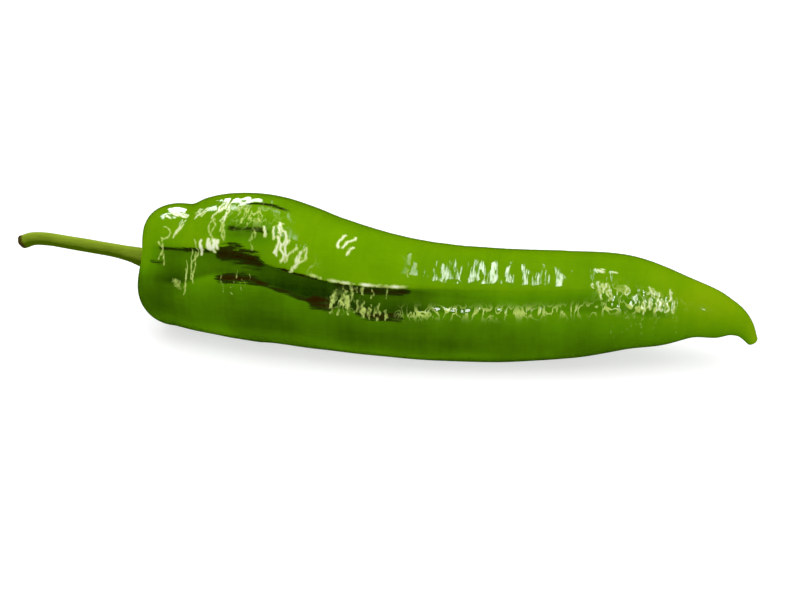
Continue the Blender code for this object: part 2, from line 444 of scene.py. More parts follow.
    def shoulder(self, roll: np.ndarray, angle: np.ndarray) -> np.ndarray:
        """Points of the shoulder.

        Args:
            roll: How far it has rolled, from its crest at 0 to the body at 1.
            angle: Angles round the spine.

        Returns:
            The points.
        """
        centre, (along, across, upward) = self.rim_plane()
        spread = np.sin(roll * math.pi / 2)
        rim = self.rim_radius()
        radius = rim + (self.skin_radius(np.full_like(angle, self.first), angle) - rim) * spread
        advance = self.roll * (1 - np.cos(roll * math.pi / 2))
        advance = advance + self.rim_setback(angle) * (1.0 - roll) ** 2
        turn = np.radians(angle)
        height = radius * np.sin(turn) - self.rim_raise * spread
        return (
            centre
            + advance[..., None] * along
            + (radius * np.cos(turn))[..., None] * across
            + height[..., None] * upward
        )

    def body(self, shares: np.ndarray, angles: np.ndarray) -> np.ndarray:
        """Points of the skin between the shoulder and the tip.

        Args:
            shares: Shares of the length, one for each ring.
            angles: Angles round the spine, one for each segment.

        Returns:
            The points, by ring and segment.
        """
        share, angle = np.meshgrid(shares, angles, indexing="ij")
        _, across, upward = self.axes(shares)
        radius, turn = self.skin_radius(share, angle), np.radians(angle)
        return (
            self.spine(shares)[:, None, :]
            + (radius * np.cos(turn))[..., None] * across[:, None, :]
            + (radius * np.sin(turn))[..., None] * upward[:, None, :]
        )

    def tip(self, share: np.ndarray, angle: np.ndarray) -> np.ndarray:
        """Points of the rounded tip.

        Args:
            share: How far round it each is, from its edge at 0 to its end at 1.
            angle: Angles round the spine.

        Returns:
            The points.
        """
        last = np.full_like(angle, self.last)
        along, across, upward = self.axes(last)
        radius = self.skin_radius(last, angle) * np.cos(share * math.pi / 2)
        advance = self.tip_rounding * np.sin(share * math.pi / 2)
        turn = np.radians(angle)
        return (
            self.spine(last)
            + advance[..., None] * along
            + (radius * np.cos(turn))[..., None] * across
            + (radius * np.sin(turn))[..., None] * upward
        )


# ---------------------------------------------------------------------------------------------
# What grows on the skin
# ---------------------------------------------------------------------------------------------


@dataclass(frozen=True)
class Patch:
    """A patch of skin that something fades out round.

    Attributes:
        at: Its middle's share of the pod's length.
        angle: Its middle's angle round the spine.
        reach: How far it reaches along, in millimetres.
        half_width: How far it reaches round, in degrees.
        strength: How strong it is in the middle.
    """

    at: float
    angle: float
    reach: float
    half_width: float
    strength: float = 1.0

    def mask(self, share: np.ndarray, angle: np.ndarray, length: float) -> np.ndarray:
        """Where it is.

        Args:
            share: Shares of the pod's length.
            angle: Angles round the spine.
            length: The pod's length.

        Returns:
            Its strength at each place.
        """
        turn = turn_between(angle, self.angle) / self.half_width
        along = (share - self.at) * length / (self.reach * MM)
        return self.strength * np.exp(-(turn**2) - along**2)


@dataclass(frozen=True)
class Line:
    """A line that runs along the skin.

    Attributes:
        route: Its share of the length and angle, at a few places.
        half_width: How far it reaches to either side, in millimetres.
        strength: How strong it is in its middle.
        fade: How far its ends take to fade in, in millimetres.
    """

    route: tuple[tuple[float, float], ...]
    half_width: float
    strength: float = 1.0
    fade: float = 4.0

    def offset(self, share: np.ndarray, angle: np.ndarray, radius: np.ndarray) -> np.ndarray:
        """How far below the line each place is, in millimetres round the skin."""
        turn = turn_between(angle, through(self.route, 1, share))
        return np.radians(turn) * radius / MM

    def span(self, share: np.ndarray, length: float) -> np.ndarray:
        """Where it runs.

        Args:
            share: Shares of the pod's length.
            length: The pod's length.

        Returns:
            1 along the line, fading to 0 at its ends.
        """
        start, end = self.route[0][0], self.route[-1][0]
        fade = self.fade * MM / length
        return smoothstep((share - start) / fade) * smoothstep((end - share) / fade)

    def mask(
        self, share: np.ndarray, angle: np.ndarray, radius: np.ndarray, length: float
    ) -> np.ndarray:
        """Where it is.

        Args:
            share: Shares of the pod's length.
            angle: Angles round the spine.
            radius: The skin's radius at each place.
            length: The pod's length.

        Returns:
            Its strength at each place.
        """
        across = self.offset(share, angle, radius) / self.half_width
        return self.strength * np.exp(-(across**2)) * self.span(share, length)


@dataclass(frozen=True)
class Scars:
    """Fine healed splits that wander across the pod, close together in one place.

    Attributes:
        at: Their middle's share of the pod's length.
        angle: Their middle's angle round the spine.
        reach: How far they spread along, in millimetres to either side.
        spread: How far they spread round, in millimetres to either side.
        count: How many there are.
        length: How long each is, in millimetres.
        lean: How far they lean towards the tip as they go down, in degrees.
        half_width: Half the width of each, in millimetres.
        strength: How thick their cork is; past 1 it is painted greyish white, as a highlight.
        wander: How much they turn from step to step, in degrees.
        steps: How many steps each is drawn in.
        margin: How far past the longest route they are worked out, in millimetres.
    """

    at: float
    angle: float
    reach: float
    spread: float
    count: int
    length: float
    lean: float = 0.0
    half_width: float = 0.36
    strength: float = 1.0
    wander: float = 20.0
    steps: int = 8
    margin: float = 2.0

    def routes(self, draws: np.random.Generator) -> np.ndarray:
        """Draws each scar's route.

        Args:
            draws: The source of random numbers.

        Returns:
            Their points in millimetres along and round from the middle, by scar.
        """
        start = draws.uniform(-1.0, 1.0, (self.count, 1, 2)) * (self.reach, self.spread)
        bends = np.cumsum(draws.normal(0.0, self.wander, (self.count, self.steps)), axis=1)
        heading = np.radians(self.lean + bends - bends.mean(axis=1, keepdims=True))
        size = self.length / self.steps * draws.uniform(0.7, 1.3, (self.count, 1))
        moves = np.stack((np.sin(heading) * size, np.cos(heading) * size), axis=-1)
        path = np.cumsum(moves, axis=1)
        return start + path - path.mean(axis=1, keepdims=True)

    def mask(
        self,
        share: np.ndarray,
        angle: np.ndarray,
        radius: np.ndarray,
        length: float,
        draws: np.random.Generator,
    ) -> np.ndarray:
        """Where the scars are.

        Args:
            share: Shares of the pod's length.
            angle: Angles round the spine.
            radius: The skin's radius at each place.
            length: The pod's length.
            draws: The source of random numbers.

        Returns:
            Their strength at each place.
        """
        along = (share - self.at) * length / MM
        turn = np.radians(turn_between(angle, self.angle)) * radius / MM
        border = self.length + self.margin
        near = (np.abs(along) < self.reach + border) & (np.abs(turn) < self.spread + border)
        place = np.stack((along[near], turn[near]), axis=-1)
        nearest = np.full(len(place), 1e3)
        for route in self.routes(draws):
            for start, end in zip(route[:-1], route[1:]):
                leg = end - start
                part = np.clip((place - start) @ leg / (leg @ leg), 0.0, 1.0)
                gap = np.linalg.norm(place - start - part[:, None] * leg, axis=1)
                nearest = np.minimum(nearest, gap)
        mask = np.zeros_like(along)
        mask[near] = self.strength * np.exp(-((nearest / self.half_width) ** 2))
        return mask


# The front valley is flat between two creases: a sharp one under the upper lobe and a raised
# lip along the lower one.
UPPER_CREASE = Line(
    route=((0.02, 134.0), (0.14, 136.5), (0.24, 146.0), (0.34, 146.5), (0.43, 141.0),
           (0.51, 136.5), (0.67, 135.0), (0.82, 136.0), (0.90, 140.0)),
    half_width=0.8,
    fade=12.0,
)
LOWER_LIP = Line(
    route=((0.05, 156.0), (0.14, 156.5), (0.24, 164.0), (0.34, 169.0), (0.43, 167.0),
           (0.51, 161.5), (0.67, 158.5), (0.75, 161.5), (0.84, 168.0)),
    half_width=1.1,
    fade=12.0,
)

# A pale edge on the upper lobe, over the crease: partly cork, partly a painted highlight.
LIP_HIGHLIGHT = Line(
    ((0.285, 143.5), (0.33, 144.6), (0.39, 142.0), (0.46, 137.8)),
    half_width=0.65,
    strength=1.1,
    fade=6.0,
)
# Cork in loops along the lower lip, where it is most crinkled.
LACE = Line(
    ((0.42, 165.0), (0.46, 163.5), (0.51, 159.5), (0.67, 156.5), (0.75, 156.5), (0.87, 156.5)),
    half_width=1.5,
    fade=9.0,
)
# The ripples in the skin round those loops.
RIPPLED = Line(LACE.route, half_width=2.8, fade=9.0)

# Where the skin is crinkled, as it is where it has dried a little.
CRINKLED = (
    Patch(0.53, 119.0, 11.0, 20.0, 1.0),
    Patch(0.66, 120.0, 12.0, 20.0, 1.0),
    Patch(0.342, 111.0, 4.0, 14.0, 0.9),
    Patch(0.455, 130.0, 2.0, 9.0, 0.5),
    Patch(0.165, 100.0, 5.0, 14.0, 1.0),
    Patch(0.150, 133.0, 5.0, 7.0, 1.0),
    Patch(0.060, 100.0, 4.5, 12.0, 0.8),
    Patch(0.078, 118.0, 4.0, 17.0, 0.9),
    Patch(0.250, 118.0, 5.0, 12.0, 1.0),
    Patch(0.285, 132.0, 5.5, 11.0, 1.0),
    Patch(0.190, 86.0, 13.0, 8.0, 0.6),
    Patch(0.232, 105.0, 5.0, 10.0, 1.0),
    Patch(0.400, 114.0, 9.0, 14.0, 0.4),
    Patch(0.780, 122.0, 7.0, 16.0, 1.0),
    Patch(0.840, 130.0, 8.0, 16.0, 0.8),
    Patch(0.780, 160.0, 6.0, 11.0, 0.9),
    Patch(0.840, 168.0, 8.0, 18.0, 0.9),
    Patch(0.300, 40.0, 16.0, 16.0, 0.7),
    Patch(0.550, 58.0, 20.0, 14.0, 0.7),
    Patch(0.720, 4.0, 16.0, 16.0, 0.6),
    Patch(0.450, 318.0, 20.0, 20.0, 0.5),
)
# Cork: pale scars, where the skin has split as it grew and healed.
# Past a strength of 1 a scar is painted greyish white: a painted highlight on the cork.
SCARS_AND_HIGHLIGHTS = (
    Scars(0.050, 128.0, 1.3, 4.0, 3, 9.0, lean=10.0),
    Scars(0.079, 115.0, 1.6, 2.2, 3, 5.5, lean=-32.0, half_width=0.42, strength=1.25),
    Scars(0.062, 101.0, 3.0, 0.8, 5, 2.5, lean=60.0, half_width=0.45, strength=1.6),
    Scars(0.120, 102.0, 4.0, 1.2, 7, 2.6, lean=-40.0, strength=1.35),
    Scars(0.152, 104.0, 2.8, 2.4, 6, 6.0, lean=-8.0, half_width=0.42, strength=1.35),
    Scars(0.153, 121.0, 2.6, 2.6, 5, 7.0),
    Scars(0.143, 134.5, 2.8, 0.8, 9, 2.6, half_width=0.5, strength=1.6),
    Scars(0.113, 152.0, 2.3, 5.0, 5, 9.0),
    Scars(0.086, 167.0, 3.2, 0.9, 5, 2.4, lean=70.0, half_width=0.75, strength=0.75),
    Scars(0.200, 107.0, 4.4, 2.8, 10, 4.0, half_width=0.32, strength=0.8),
    Scars(0.234, 117.0, 2.2, 1.6, 5, 4.0, lean=15.0, strength=1.45),
    Scars(0.250, 128.0, 1.8, 3.2, 5, 7.0, lean=8.0, half_width=0.45, strength=1.45),
    Scars(0.277, 135.0, 2.4, 2.4, 6, 6.0, lean=-14.0, half_width=0.42, strength=1.25),
    Scars(0.215, 128.0, 2.6, 2.6, 3, 3.5, strength=0.7),
    Scars(0.420, 42.0, 3.0, 0.3, 2, 6.0, lean=-14.0, half_width=0.45, strength=0.9),
    Scars(0.358, 116.0, 1.6, 1.2, 2, 3.0, lean=-28.0, strength=1.4),
    Scars(0.452, 117.0, 1.6, 3.0, 3, 3.5, strength=0.8),
    Scars(0.185, 164.0, 5.0, 2.4, 8, 3.0, strength=0.6),
    Scars(0.353, 163.0, 2.6, 1.8, 9, 4.2),
    Scars(0.400, 167.0, 6.5, 1.2, 13, 3.0, strength=0.9),
    Scars(0.385, 149.0, 8.0, 0.6, 9, 2.2, strength=0.8),
    Scars(0.745, 130.0, 3.0, 0.6, 5, 2.0, strength=1.3),
    Scars(0.775, 136.0, 5.0, 1.6, 8, 3.0, strength=1.15),
    Scars(0.770, 112.0, 3.4, 0.5, 4, 1.6, lean=70.0, strength=1.4),
    Scars(0.845, 133.0, 4.2, 1.0, 8, 2.4, strength=1.3),
    Scars(0.845, 153.0, 4.2, 1.2, 9, 3.0, strength=1.3),
    Scars(0.850, 170.0, 5.0, 3.0, 9, 6.0, strength=0.5),
    Scars(0.795, 172.0, 5.0, 3.0, 9, 6.0, strength=0.5),
    Scars(0.340, 30.0, 6.0, 3.0, 8, 5.0),
    Scars(0.640, 300.0, 5.0, 3.0, 7, 5.0, strength=0.8),
    # These two are painted highlights alone, drawn as white scars.
    Scars(0.331, 107.0, 0.1, 0.1, 1, 7.5, lean=-14.0, half_width=0.5, strength=1.6),
    Scars(0.344, 106.0, 0.1, 0.1, 1, 6.5, lean=-22.0, half_width=0.5, strength=1.6),
)
# Where the cork runs in loops over a whole patch.
CRAZED = (
    Patch(0.200, 107.0, 4.2, 9.0, 1.0),
    Patch(0.357, 163.0, 2.6, 7.0, 0.8),
    Patch(0.290, 137.0, 2.6, 6.0, 0.6),
    Patch(0.780, 137.0, 5.0, 8.0, 0.7),
    Patch(0.850, 145.0, 5.0, 10.0, 0.7),
)
# Where the wax has worn off.
DULLED = (
    Patch(0.222, 109.0, 8.0, 16.0, 1.2),
    Patch(0.365, 118.0, 14.0, 24.0, 2.6),
    Patch(0.205, 161.0, 5.0, 8.0, 1.0),
    Patch(0.385, 163.0, 9.0, 6.0, 1.0),
    Patch(0.795, 116.0, 4.0, 12.0, 0.7),
)
# Painted shade: darker green where the skin faces down on the shoulder and in the valley.
PAINTED_SHADE = (
    Patch(0.200, 122.0, 6.0, 10.0, 0.42),
    Patch(0.050, 150.0, 5.0, 30.0, 0.16),
    Patch(0.300, 156.0, 9.0, 6.0, 0.10),
)
# Scorched by the sun and rubbed by leaves: brown streaks along the creases.
SCORCHED = (
    Line(((0.035, 136.0), (0.10, 136.5), (0.155, 139.0)), 0.55, 0.75, 3.0),
    Line(((0.145, 138.5), (0.195, 142.5), (0.236, 146.5)), 2.2, 1.0, 3.0),
    Line(((0.180, 95.5), (0.215, 95.0), (0.250, 97.0)), 0.8, 0.75, 3.0),
    Line(((0.160, 119.0), (0.205, 120.5), (0.235, 121.0)), 0.8, 0.7, 3.0),
    Line(((0.165, 132.0), (0.205, 133.5)), 0.7, 0.6, 3.0),
    Line(((0.145, 160.5), (0.20, 160.5), (0.235, 162.0)), 1.4, 0.85, 4.0),
    Line(((0.215, 161.5), (0.27, 165.0), (0.325, 168.5)), 0.7, 0.62, 3.0),
    Line(((0.300, 166.5), (0.330, 167.5), (0.352, 168.0)), 2.0, 1.0, 2.5),
    Line(((0.365, 169.0), (0.41, 170.0), (0.455, 169.0)), 1.4, 0.85, 4.0),
    Line(((0.330, 149.5), (0.39, 147.0), (0.460, 142.0)), 1.5, 0.85, 4.0),
    Line(((0.020, 149.0), (0.07, 151.0)), 0.6, 0.5, 3.0),
    # This one is a painted shadow: a dark line under the upper lobe's brow, along the crease.
    Line(((0.240, 146.5), (0.30, 147.0), (0.34, 147.6)), 0.6, 0.8, 4.0),
    Line(((0.300, 24.0), (0.36, 21.0), (0.42, 22.0)), 1.6, 0.8, 5.0),
)


# ---------------------------------------------------------------------------------------------
# Finishes
# ---------------------------------------------------------------------------------------------


def linear(colour: str) -> tuple[float, float, float, float]:
    """An sRGB hex colour as linear RGBA.

    Args:
        colour: Such as "#6ea002".

    Returns:
        Red, green, blue and alpha.
    """
    shares = [int(colour[i : i + 2], 16) / 255 for i in (1, 3, 5)]
    red, green, blue = (s / 12.92 if s <= 0.04045 else ((s + 0.055) / 1.055) ** 2.4 for s in shares)
    return red, green, blue, 1.0


def add_node(
    tree: bpy.types.NodeTree, kind: str, inputs: dict | None = None, **settings: object
) -> bpy.types.Node:
    """Adds a node with its settings, values and links.

    Args:
        tree: The node tree to add it to.
        kind: The node's type.
        inputs: By socket name or number, a value or the output socket to link from.
        settings: The node's own properties.

    Returns:
        The node.
    """
    node = tree.nodes.new(kind)
    for name, value in settings.items():
        setattr(node, name, value)
    for socket, value in (inputs or {}).items():
        if isinstance(value, bpy.types.NodeSocket):
            tree.links.new(value, node.inputs[socket])
        else:
            node.inputs[socket].default_value = value
    return node


def set_ramp(node: bpy.types.Node, stops: Sequence[tuple[float, str]]) -> None:
    """Gives a Color Ramp node its stops.

    Args:
        node: The Color Ramp node.
        stops: A place and a hex colour for each stop, in rising order.
    """
    elements = node.color_ramp.elements
    while len(elements) < len(stops):
        elements.new(0.5)
    for element, (place, colour) in zip(elements, stops):
        element.position = place
        element.color = linear(colour)


class Marking(Enum):
    """The masks that the pod's mesh carries for its skin."""

    # Tone, with painted light and shade in it.
    SHADE_AND_TONE = "shade_and_tone"
    CRINKLE = "crinkle"
    # Cork, and past 1 the painted highlights on the strongest scars.
    CORK_AND_HIGHLIGHT = "cork"
    LACE = "lace"
    DULL = "dull"
    SCORCH = "scorch"


def new_material(name: str) -> tuple[bpy.types.Material, bpy.types.NodeTree, bpy.types.Node]:
    """A material with only its shader and output.

    Args:
        name: The finish's name.

    Returns:
        The material, its node tree and its Principled shader.
    """
    made = bpy.data.materials.new(name)
    made.use_nodes = True
    tree = made.node_tree
    return made, tree, tree.nodes["Principled BSDF"]


@dataclass(frozen=True)
class WaxedPepperSkin:
    """Pepper skin: a thin clear wax over green flesh, smooth, with dry crinkles and scars.

    The wax gives small sharp highlights over a deep, saturated green. Where the skin has dried
    it is crinkled across the pod, and where it has split and healed it is pale and corky. The
    strongest scars are painted greyish white, as highlights, and the green carries painted light
    and shade: paler on top, darker in the front valley and on the lower lobe.

    Attributes:
        greens_and_shade: The flesh's colours, from the painted shade deep in a valley to the
        painted light on top, and the tip.
        scorch: The dark brown of the streaks' middles.
        scorch_edge: The brown of their edges.
        cork: The dull tan of healed splits.
        fresh_cork: The pale green of those that healed last.
        cork_highlight_white: The greyish white of the strongest scars: a painted highlight.
        fine_crinkle: Width and length of the finest crinkles, in millimetres.
        loop: Width and length of the cork's loops, in millimetres.
        grain: Width and length of the cork's grains, in millimetres.
        ripening: Width and length of patches of riper flesh, in millimetres.
        line: Width and length of faint paler lines across the pod, in millimetres.
        streak: Width and length of streaks along the pod, in millimetres.
    """

    greens_and_shade: tuple[tuple[float, str], ...] = (
        (0.00, "#142a01"),
        (0.30, "#345501"),
        (0.60, "#4d7b01"),
        (0.85, "#618b01"),
        (1.00, "#709203"),
    )
    scorch: str = "#251801"
    scorch_edge: str = "#1e2d04"
    cork: str = "#7c9422"
    fresh_cork: str = "#bccf74"
    cork_highlight_white: str = "#e4e8cf"
    fine_crinkle: tuple[float, float] = (0.9, 5.0)
    loop: tuple[float, float] = (2.4, 4.0)
    grain: tuple[float, float] = (0.8, 1.1)
    ripening: tuple[float, float] = (11.0, 13.0)
    line: tuple[float, float] = (2.0, 16.0)
    streak: tuple[float, float] = (9.0, 0.9)

    def across(self, tree: bpy.types.NodeTree, size: tuple[float, float]) -> bpy.types.NodeSocket:
        """Object coordinates counted in features that are drawn out across the pod.

        Args:
            tree: The material's node tree.
            size: The features' width along the pod and length round it, in millimetres.

        Returns:
            The coordinates.
        """
        width, length = size
        scale = (1 / (width * MM), 1 / (length * MM), 1 / (length * MM))
        place = add_node(tree, "ShaderNodeTexCoord").outputs["Object"]
        return add_node(tree, "ShaderNodeMapping", {"Vector": place, "Scale": scale}).outputs[0]

    def flesh(
        self,
        tree: bpy.types.NodeTree,
        shade_and_tone: bpy.types.NodeSocket,
        streaks: bpy.types.NodeSocket,
    ) -> bpy.types.NodeSocket:
        """The green of the flesh.

        Args:
            tree: The material's node tree.
            shade_and_tone: How pale each place is, painted light and shade included.
            streaks: The streaks along the pod.

        Returns:
            The colour, with painted light and shade.
        """
        ripening = add_node(
            tree,
            "ShaderNodeTexNoise",
            {"Vector": self.across(tree, self.ripening), "Scale": 1.0, "Detail": 3.0},
        ).outputs["Fac"]
        # The lines across the pod follow the crinkles.
        lines = add_node(
            tree,
            "ShaderNodeTexNoise",
            {
                "Vector": self.across(tree, self.line),
                "Scale": 1.0,
                "Detail": 3.0,
                "Distortion": 0.8,
            },
        ).outputs["Fac"]
        shade = shade_and_tone
        for pattern, weight in ((ripening, 0.36), (lines, 0.13), (streaks, 0.14)):
            shade = add_node(
                tree, "ShaderNodeMath", {0: pattern, 1: weight, 2: shade}, operation="MULTIPLY_ADD"
            ).outputs[0]
        # Half of the three weights together, so that the patterns leave the mean tone alone.
        shade = add_node(
            tree, "ShaderNodeMath", {0: shade, 1: 0.315}, operation="SUBTRACT"
        ).outputs[0]
        ramp = add_node(tree, "ShaderNodeValToRGB", {"Fac": shade})
        set_ramp(ramp, self.greens_and_shade)
        return ramp.outputs["Color"]

    def scorching(
        self,
        tree: bpy.types.NodeTree,
        scorched: bpy.types.NodeSocket,
        streaks: bpy.types.NodeSocket,
    ) -> tuple[bpy.types.NodeSocket, bpy.types.NodeSocket]:
        """Where the skin is scorched, which breaks up into the streaks.

        Args:
            tree: The material's node tree.
            scorched: How strongly each place is scorched.
            streaks: The streaks along the pod.

        Returns:
            The scorched places with their edges, and their middles alone.
        """
        near = add_node(
            tree,
            "ShaderNodeMapRange",
            {"Value": scorched, "From Min": 0.06, "From Max": 0.3, "To Max": 2.4},
        ).outputs[0]
        broken = add_node(
            tree, "ShaderNodeMath", {0: streaks, 1: 0.5}, operation="SUBTRACT"
        ).outputs[0]
        burnt = add_node(
            tree, "ShaderNodeMath", {0: broken, 1: near, 2: scorched}, operation="MULTIPLY_ADD"
        ).outputs[0]
        edge = add_node(
            tree, "ShaderNodeMapRange", {"Value": burnt, "From Min": 0.22, "From Max": 0.55}
        ).outputs[0]
        core = add_node(
            tree, "ShaderNodeMapRange", {"Value": burnt, "From Min": 0.6, "From Max": 1.05}
        ).outputs[0]
        return edge, core

    def corking(
        self,
        tree: bpy.types.NodeTree,
        scars_and_highlights: bpy.types.NodeSocket,
        laced: bpy.types.NodeSocket,
    ) -> tuple[bpy.types.NodeSocket, bpy.types.NodeSocket]:
        """The cork of the scars and of the loops.

        Args:
            tree: The material's node tree.
            scars_and_highlights: How thick the scars' cork is; past 1, a painted highlight.
            laced: How strongly the cork's loops show.

        Returns:
            Where the cork and its painted highlights are, and their colour.
        """
        # The loops are the contour lines of a pattern drawn out across the pod.
        pattern = add_node(
            tree,
            "ShaderNodeTexNoise",
            {
                "Vector": self.across(tree, self.loop),
                "Scale": 1.0,
                "Detail": 2.0,
                "Distortion": 0.6,
            },
        ).outputs["Fac"]
        away = add_node(
            tree, "ShaderNodeMath", {0: pattern, 1: 0.5}, operation="SUBTRACT"
        ).outputs[0]
        away = add_node(tree, "ShaderNodeMath", {0: away}, operation="ABSOLUTE").outputs[0]
        loops = add_node(
            tree, "ShaderNodeMapRange", {"Value": away, "From Min": 0.06, "From Max": 0.02}
        ).outputs[0]
        looped = add_node(
            tree, "ShaderNodeMath", {0: loops, 1: laced}, operation="MULTIPLY"
        ).outputs[0]
        # Grains of cork break up the scars' edges.
        grains = add_node(
            tree,
            "ShaderNodeTexNoise",
            {"Vector": self.across(tree, self.grain), "Scale": 1.0, "Detail": 3.0},
        ).outputs["Fac"]
        split = add_node(
            tree, "ShaderNodeMath", {0: grains, 1: 1.1, 2: scars_and_highlights}, operation="MULTIPLY_ADD"
        ).outputs[0]
        split = add_node(
            tree,
            "ShaderNodeMapRange",
            {"Value": split, "From Min": 0.98, "From Max": 1.5, "To Max": 0.88},
        ).outputs[0]
        cork_and_highlight = add_node(
            tree, "ShaderNodeMath", {0: looped, 1: split}, operation="ADD", use_clamp=True
        ).outputs[0]
        tan = add_node(
            tree,
            "ShaderNodeMix",
            {0: grains, 6: linear(self.cork), 7: linear(self.fresh_cork)},
            data_type="RGBA",
        ).outputs[2]
        # Past 0.9 the scars turn greyish white: painted highlights on the cork.
        dried = add_node(
            tree,
            "ShaderNodeMapRange",
            {"Value": scars_and_highlights, "From Min": 0.9, "From Max": 1.4, "To Max": 0.85},
        ).outputs[0]
        colour = add_node(
            tree, "ShaderNodeMix", {0: dried, 6: tan, 7: linear(self.cork_highlight_white)}, data_type="RGBA"
        ).outputs[2]
        return cork_and_highlight, colour

    def bump(
        self,
        tree: bpy.types.NodeTree,
        crinkled: bpy.types.NodeSocket,
        cork_and_highlight: bpy.types.NodeSocket,
    ) -> bpy.types.NodeSocket:
        """The finest crinkles, and the cork standing a little proud.

        Args:
            tree: The material's node tree.
            crinkled: How crinkled each place is.
            cork_and_highlight: Where the cork and its painted highlights are.

        Returns:
            The normal.
        """
        crinkle = add_node(
            tree,
            "ShaderNodeTexNoise",
            {
                "Vector": self.across(tree, self.fine_crinkle),
                "Scale": 1.0,
                "Detail": 3.0,
                "Distortion": 0.5,
            },
        ).outputs["Fac"]
        height = add_node(
            tree, "ShaderNodeMath", {0: crinkle, 1: crinkled}, operation="MULTIPLY"
        ).outputs[0]
        height = add_node(
            tree, "ShaderNodeMath", {0: cork_and_highlight, 1: 0.6, 2: height}, operation="MULTIPLY_ADD"
        ).outputs[0]
        return add_node(
            tree, "ShaderNodeBump", {"Height": height, "Strength": 1.0, "Distance": 0.06 * MM}
        ).outputs["Normal"]

    def wax(
        self,
        tree: bpy.types.NodeTree,
        dulled: bpy.types.NodeSocket,
        scorched: bpy.types.NodeSocket,
        cork_and_highlight: bpy.types.NodeSocket,
    ) -> bpy.types.NodeSocket:
        """How much wax is left, which neither scorch nor cork holds.

        Args:
            tree: The material's node tree.
            dulled: Where the wax has worn off.
            scorched: Where the skin is scorched.
            cork_and_highlight: Where the cork and its painted highlights are.

        Returns:
            The wax's weight.
        """
        bare = add_node(
            tree, "ShaderNodeMath", {0: scorched, 1: cork_and_highlight}, operation="MAXIMUM"
        ).outputs[0]
        bare = add_node(
            tree, "ShaderNodeMath", {0: dulled, 1: 1.7, 2: bare}, operation="MULTIPLY_ADD"
        ).outputs[0]
        return add_node(
            tree,
            "ShaderNodeMapRange",
            {"Value": bare, "From Max": 2.0, "To Min": 1.0, "To Max": 0.0},
        ).outputs[0]

    def make(self) -> bpy.types.Material:
        """Makes the material.

        Returns:
            The material.
        """
        made, tree, shader = new_material("pepper_skin_waxed")
        masks = {
            mark: add_node(tree, "ShaderNodeAttribute", attribute_name=mark.value).outputs["Fac"]
            for mark in Marking
        }
        streaks = add_node(
            tree,
            "ShaderNodeTexNoise",
            {
                "Vector": self.across(tree, self.streak),
                "Scale": 1.0,
                "Detail": 4.0,
                "Roughness": 0.65,
                "Distortion": 0.5,
            },
        ).outputs["Fac"]
        edge, core = self.scorching(tree, masks[Marking.SCORCH], streaks)
        cork_and_highlight, cork = self.corking(tree, masks[Marking.CORK_AND_HIGHLIGHT], masks[Marking.LACE])
        colour = self.flesh(tree, masks[Marking.SHADE_AND_TONE], streaks)
        layers = ((edge, linear(self.scorch_edge)), (core, linear(self.scorch)), (cork_and_highlight, cork))
        for amount, over in layers:
            colour = add_node(
                tree, "ShaderNodeMix", {0: amount, 6: colour, 7: over}, data_type="RGBA"
            ).outputs[2]
        bump = self.bump(tree, masks[Marking.CRINKLE], cork_and_highlight)
        rough = add_node(
            tree, "ShaderNodeMapRange", {"Value": edge, "To Min": 0.42, "To Max": 0.6}
        ).outputs[0]
        for socket, source in (
            ("Base Color", colour),
            ("Coat Weight", self.wax(tree, masks[Marking.DULL], edge, cork_and_highlight)),
            ("Roughness", rough),
            ("Normal", bump),
            ("Coat Normal", bump),
        ):
            tree.links.new(source, shader.inputs[socket])
        shader.inputs["Specular IOR Level"].default_value = 0.0
        shader.inputs["Coat Roughness"].default_value = 0.045
        shader.inputs["Coat IOR"].default_value = 1.6
        return made


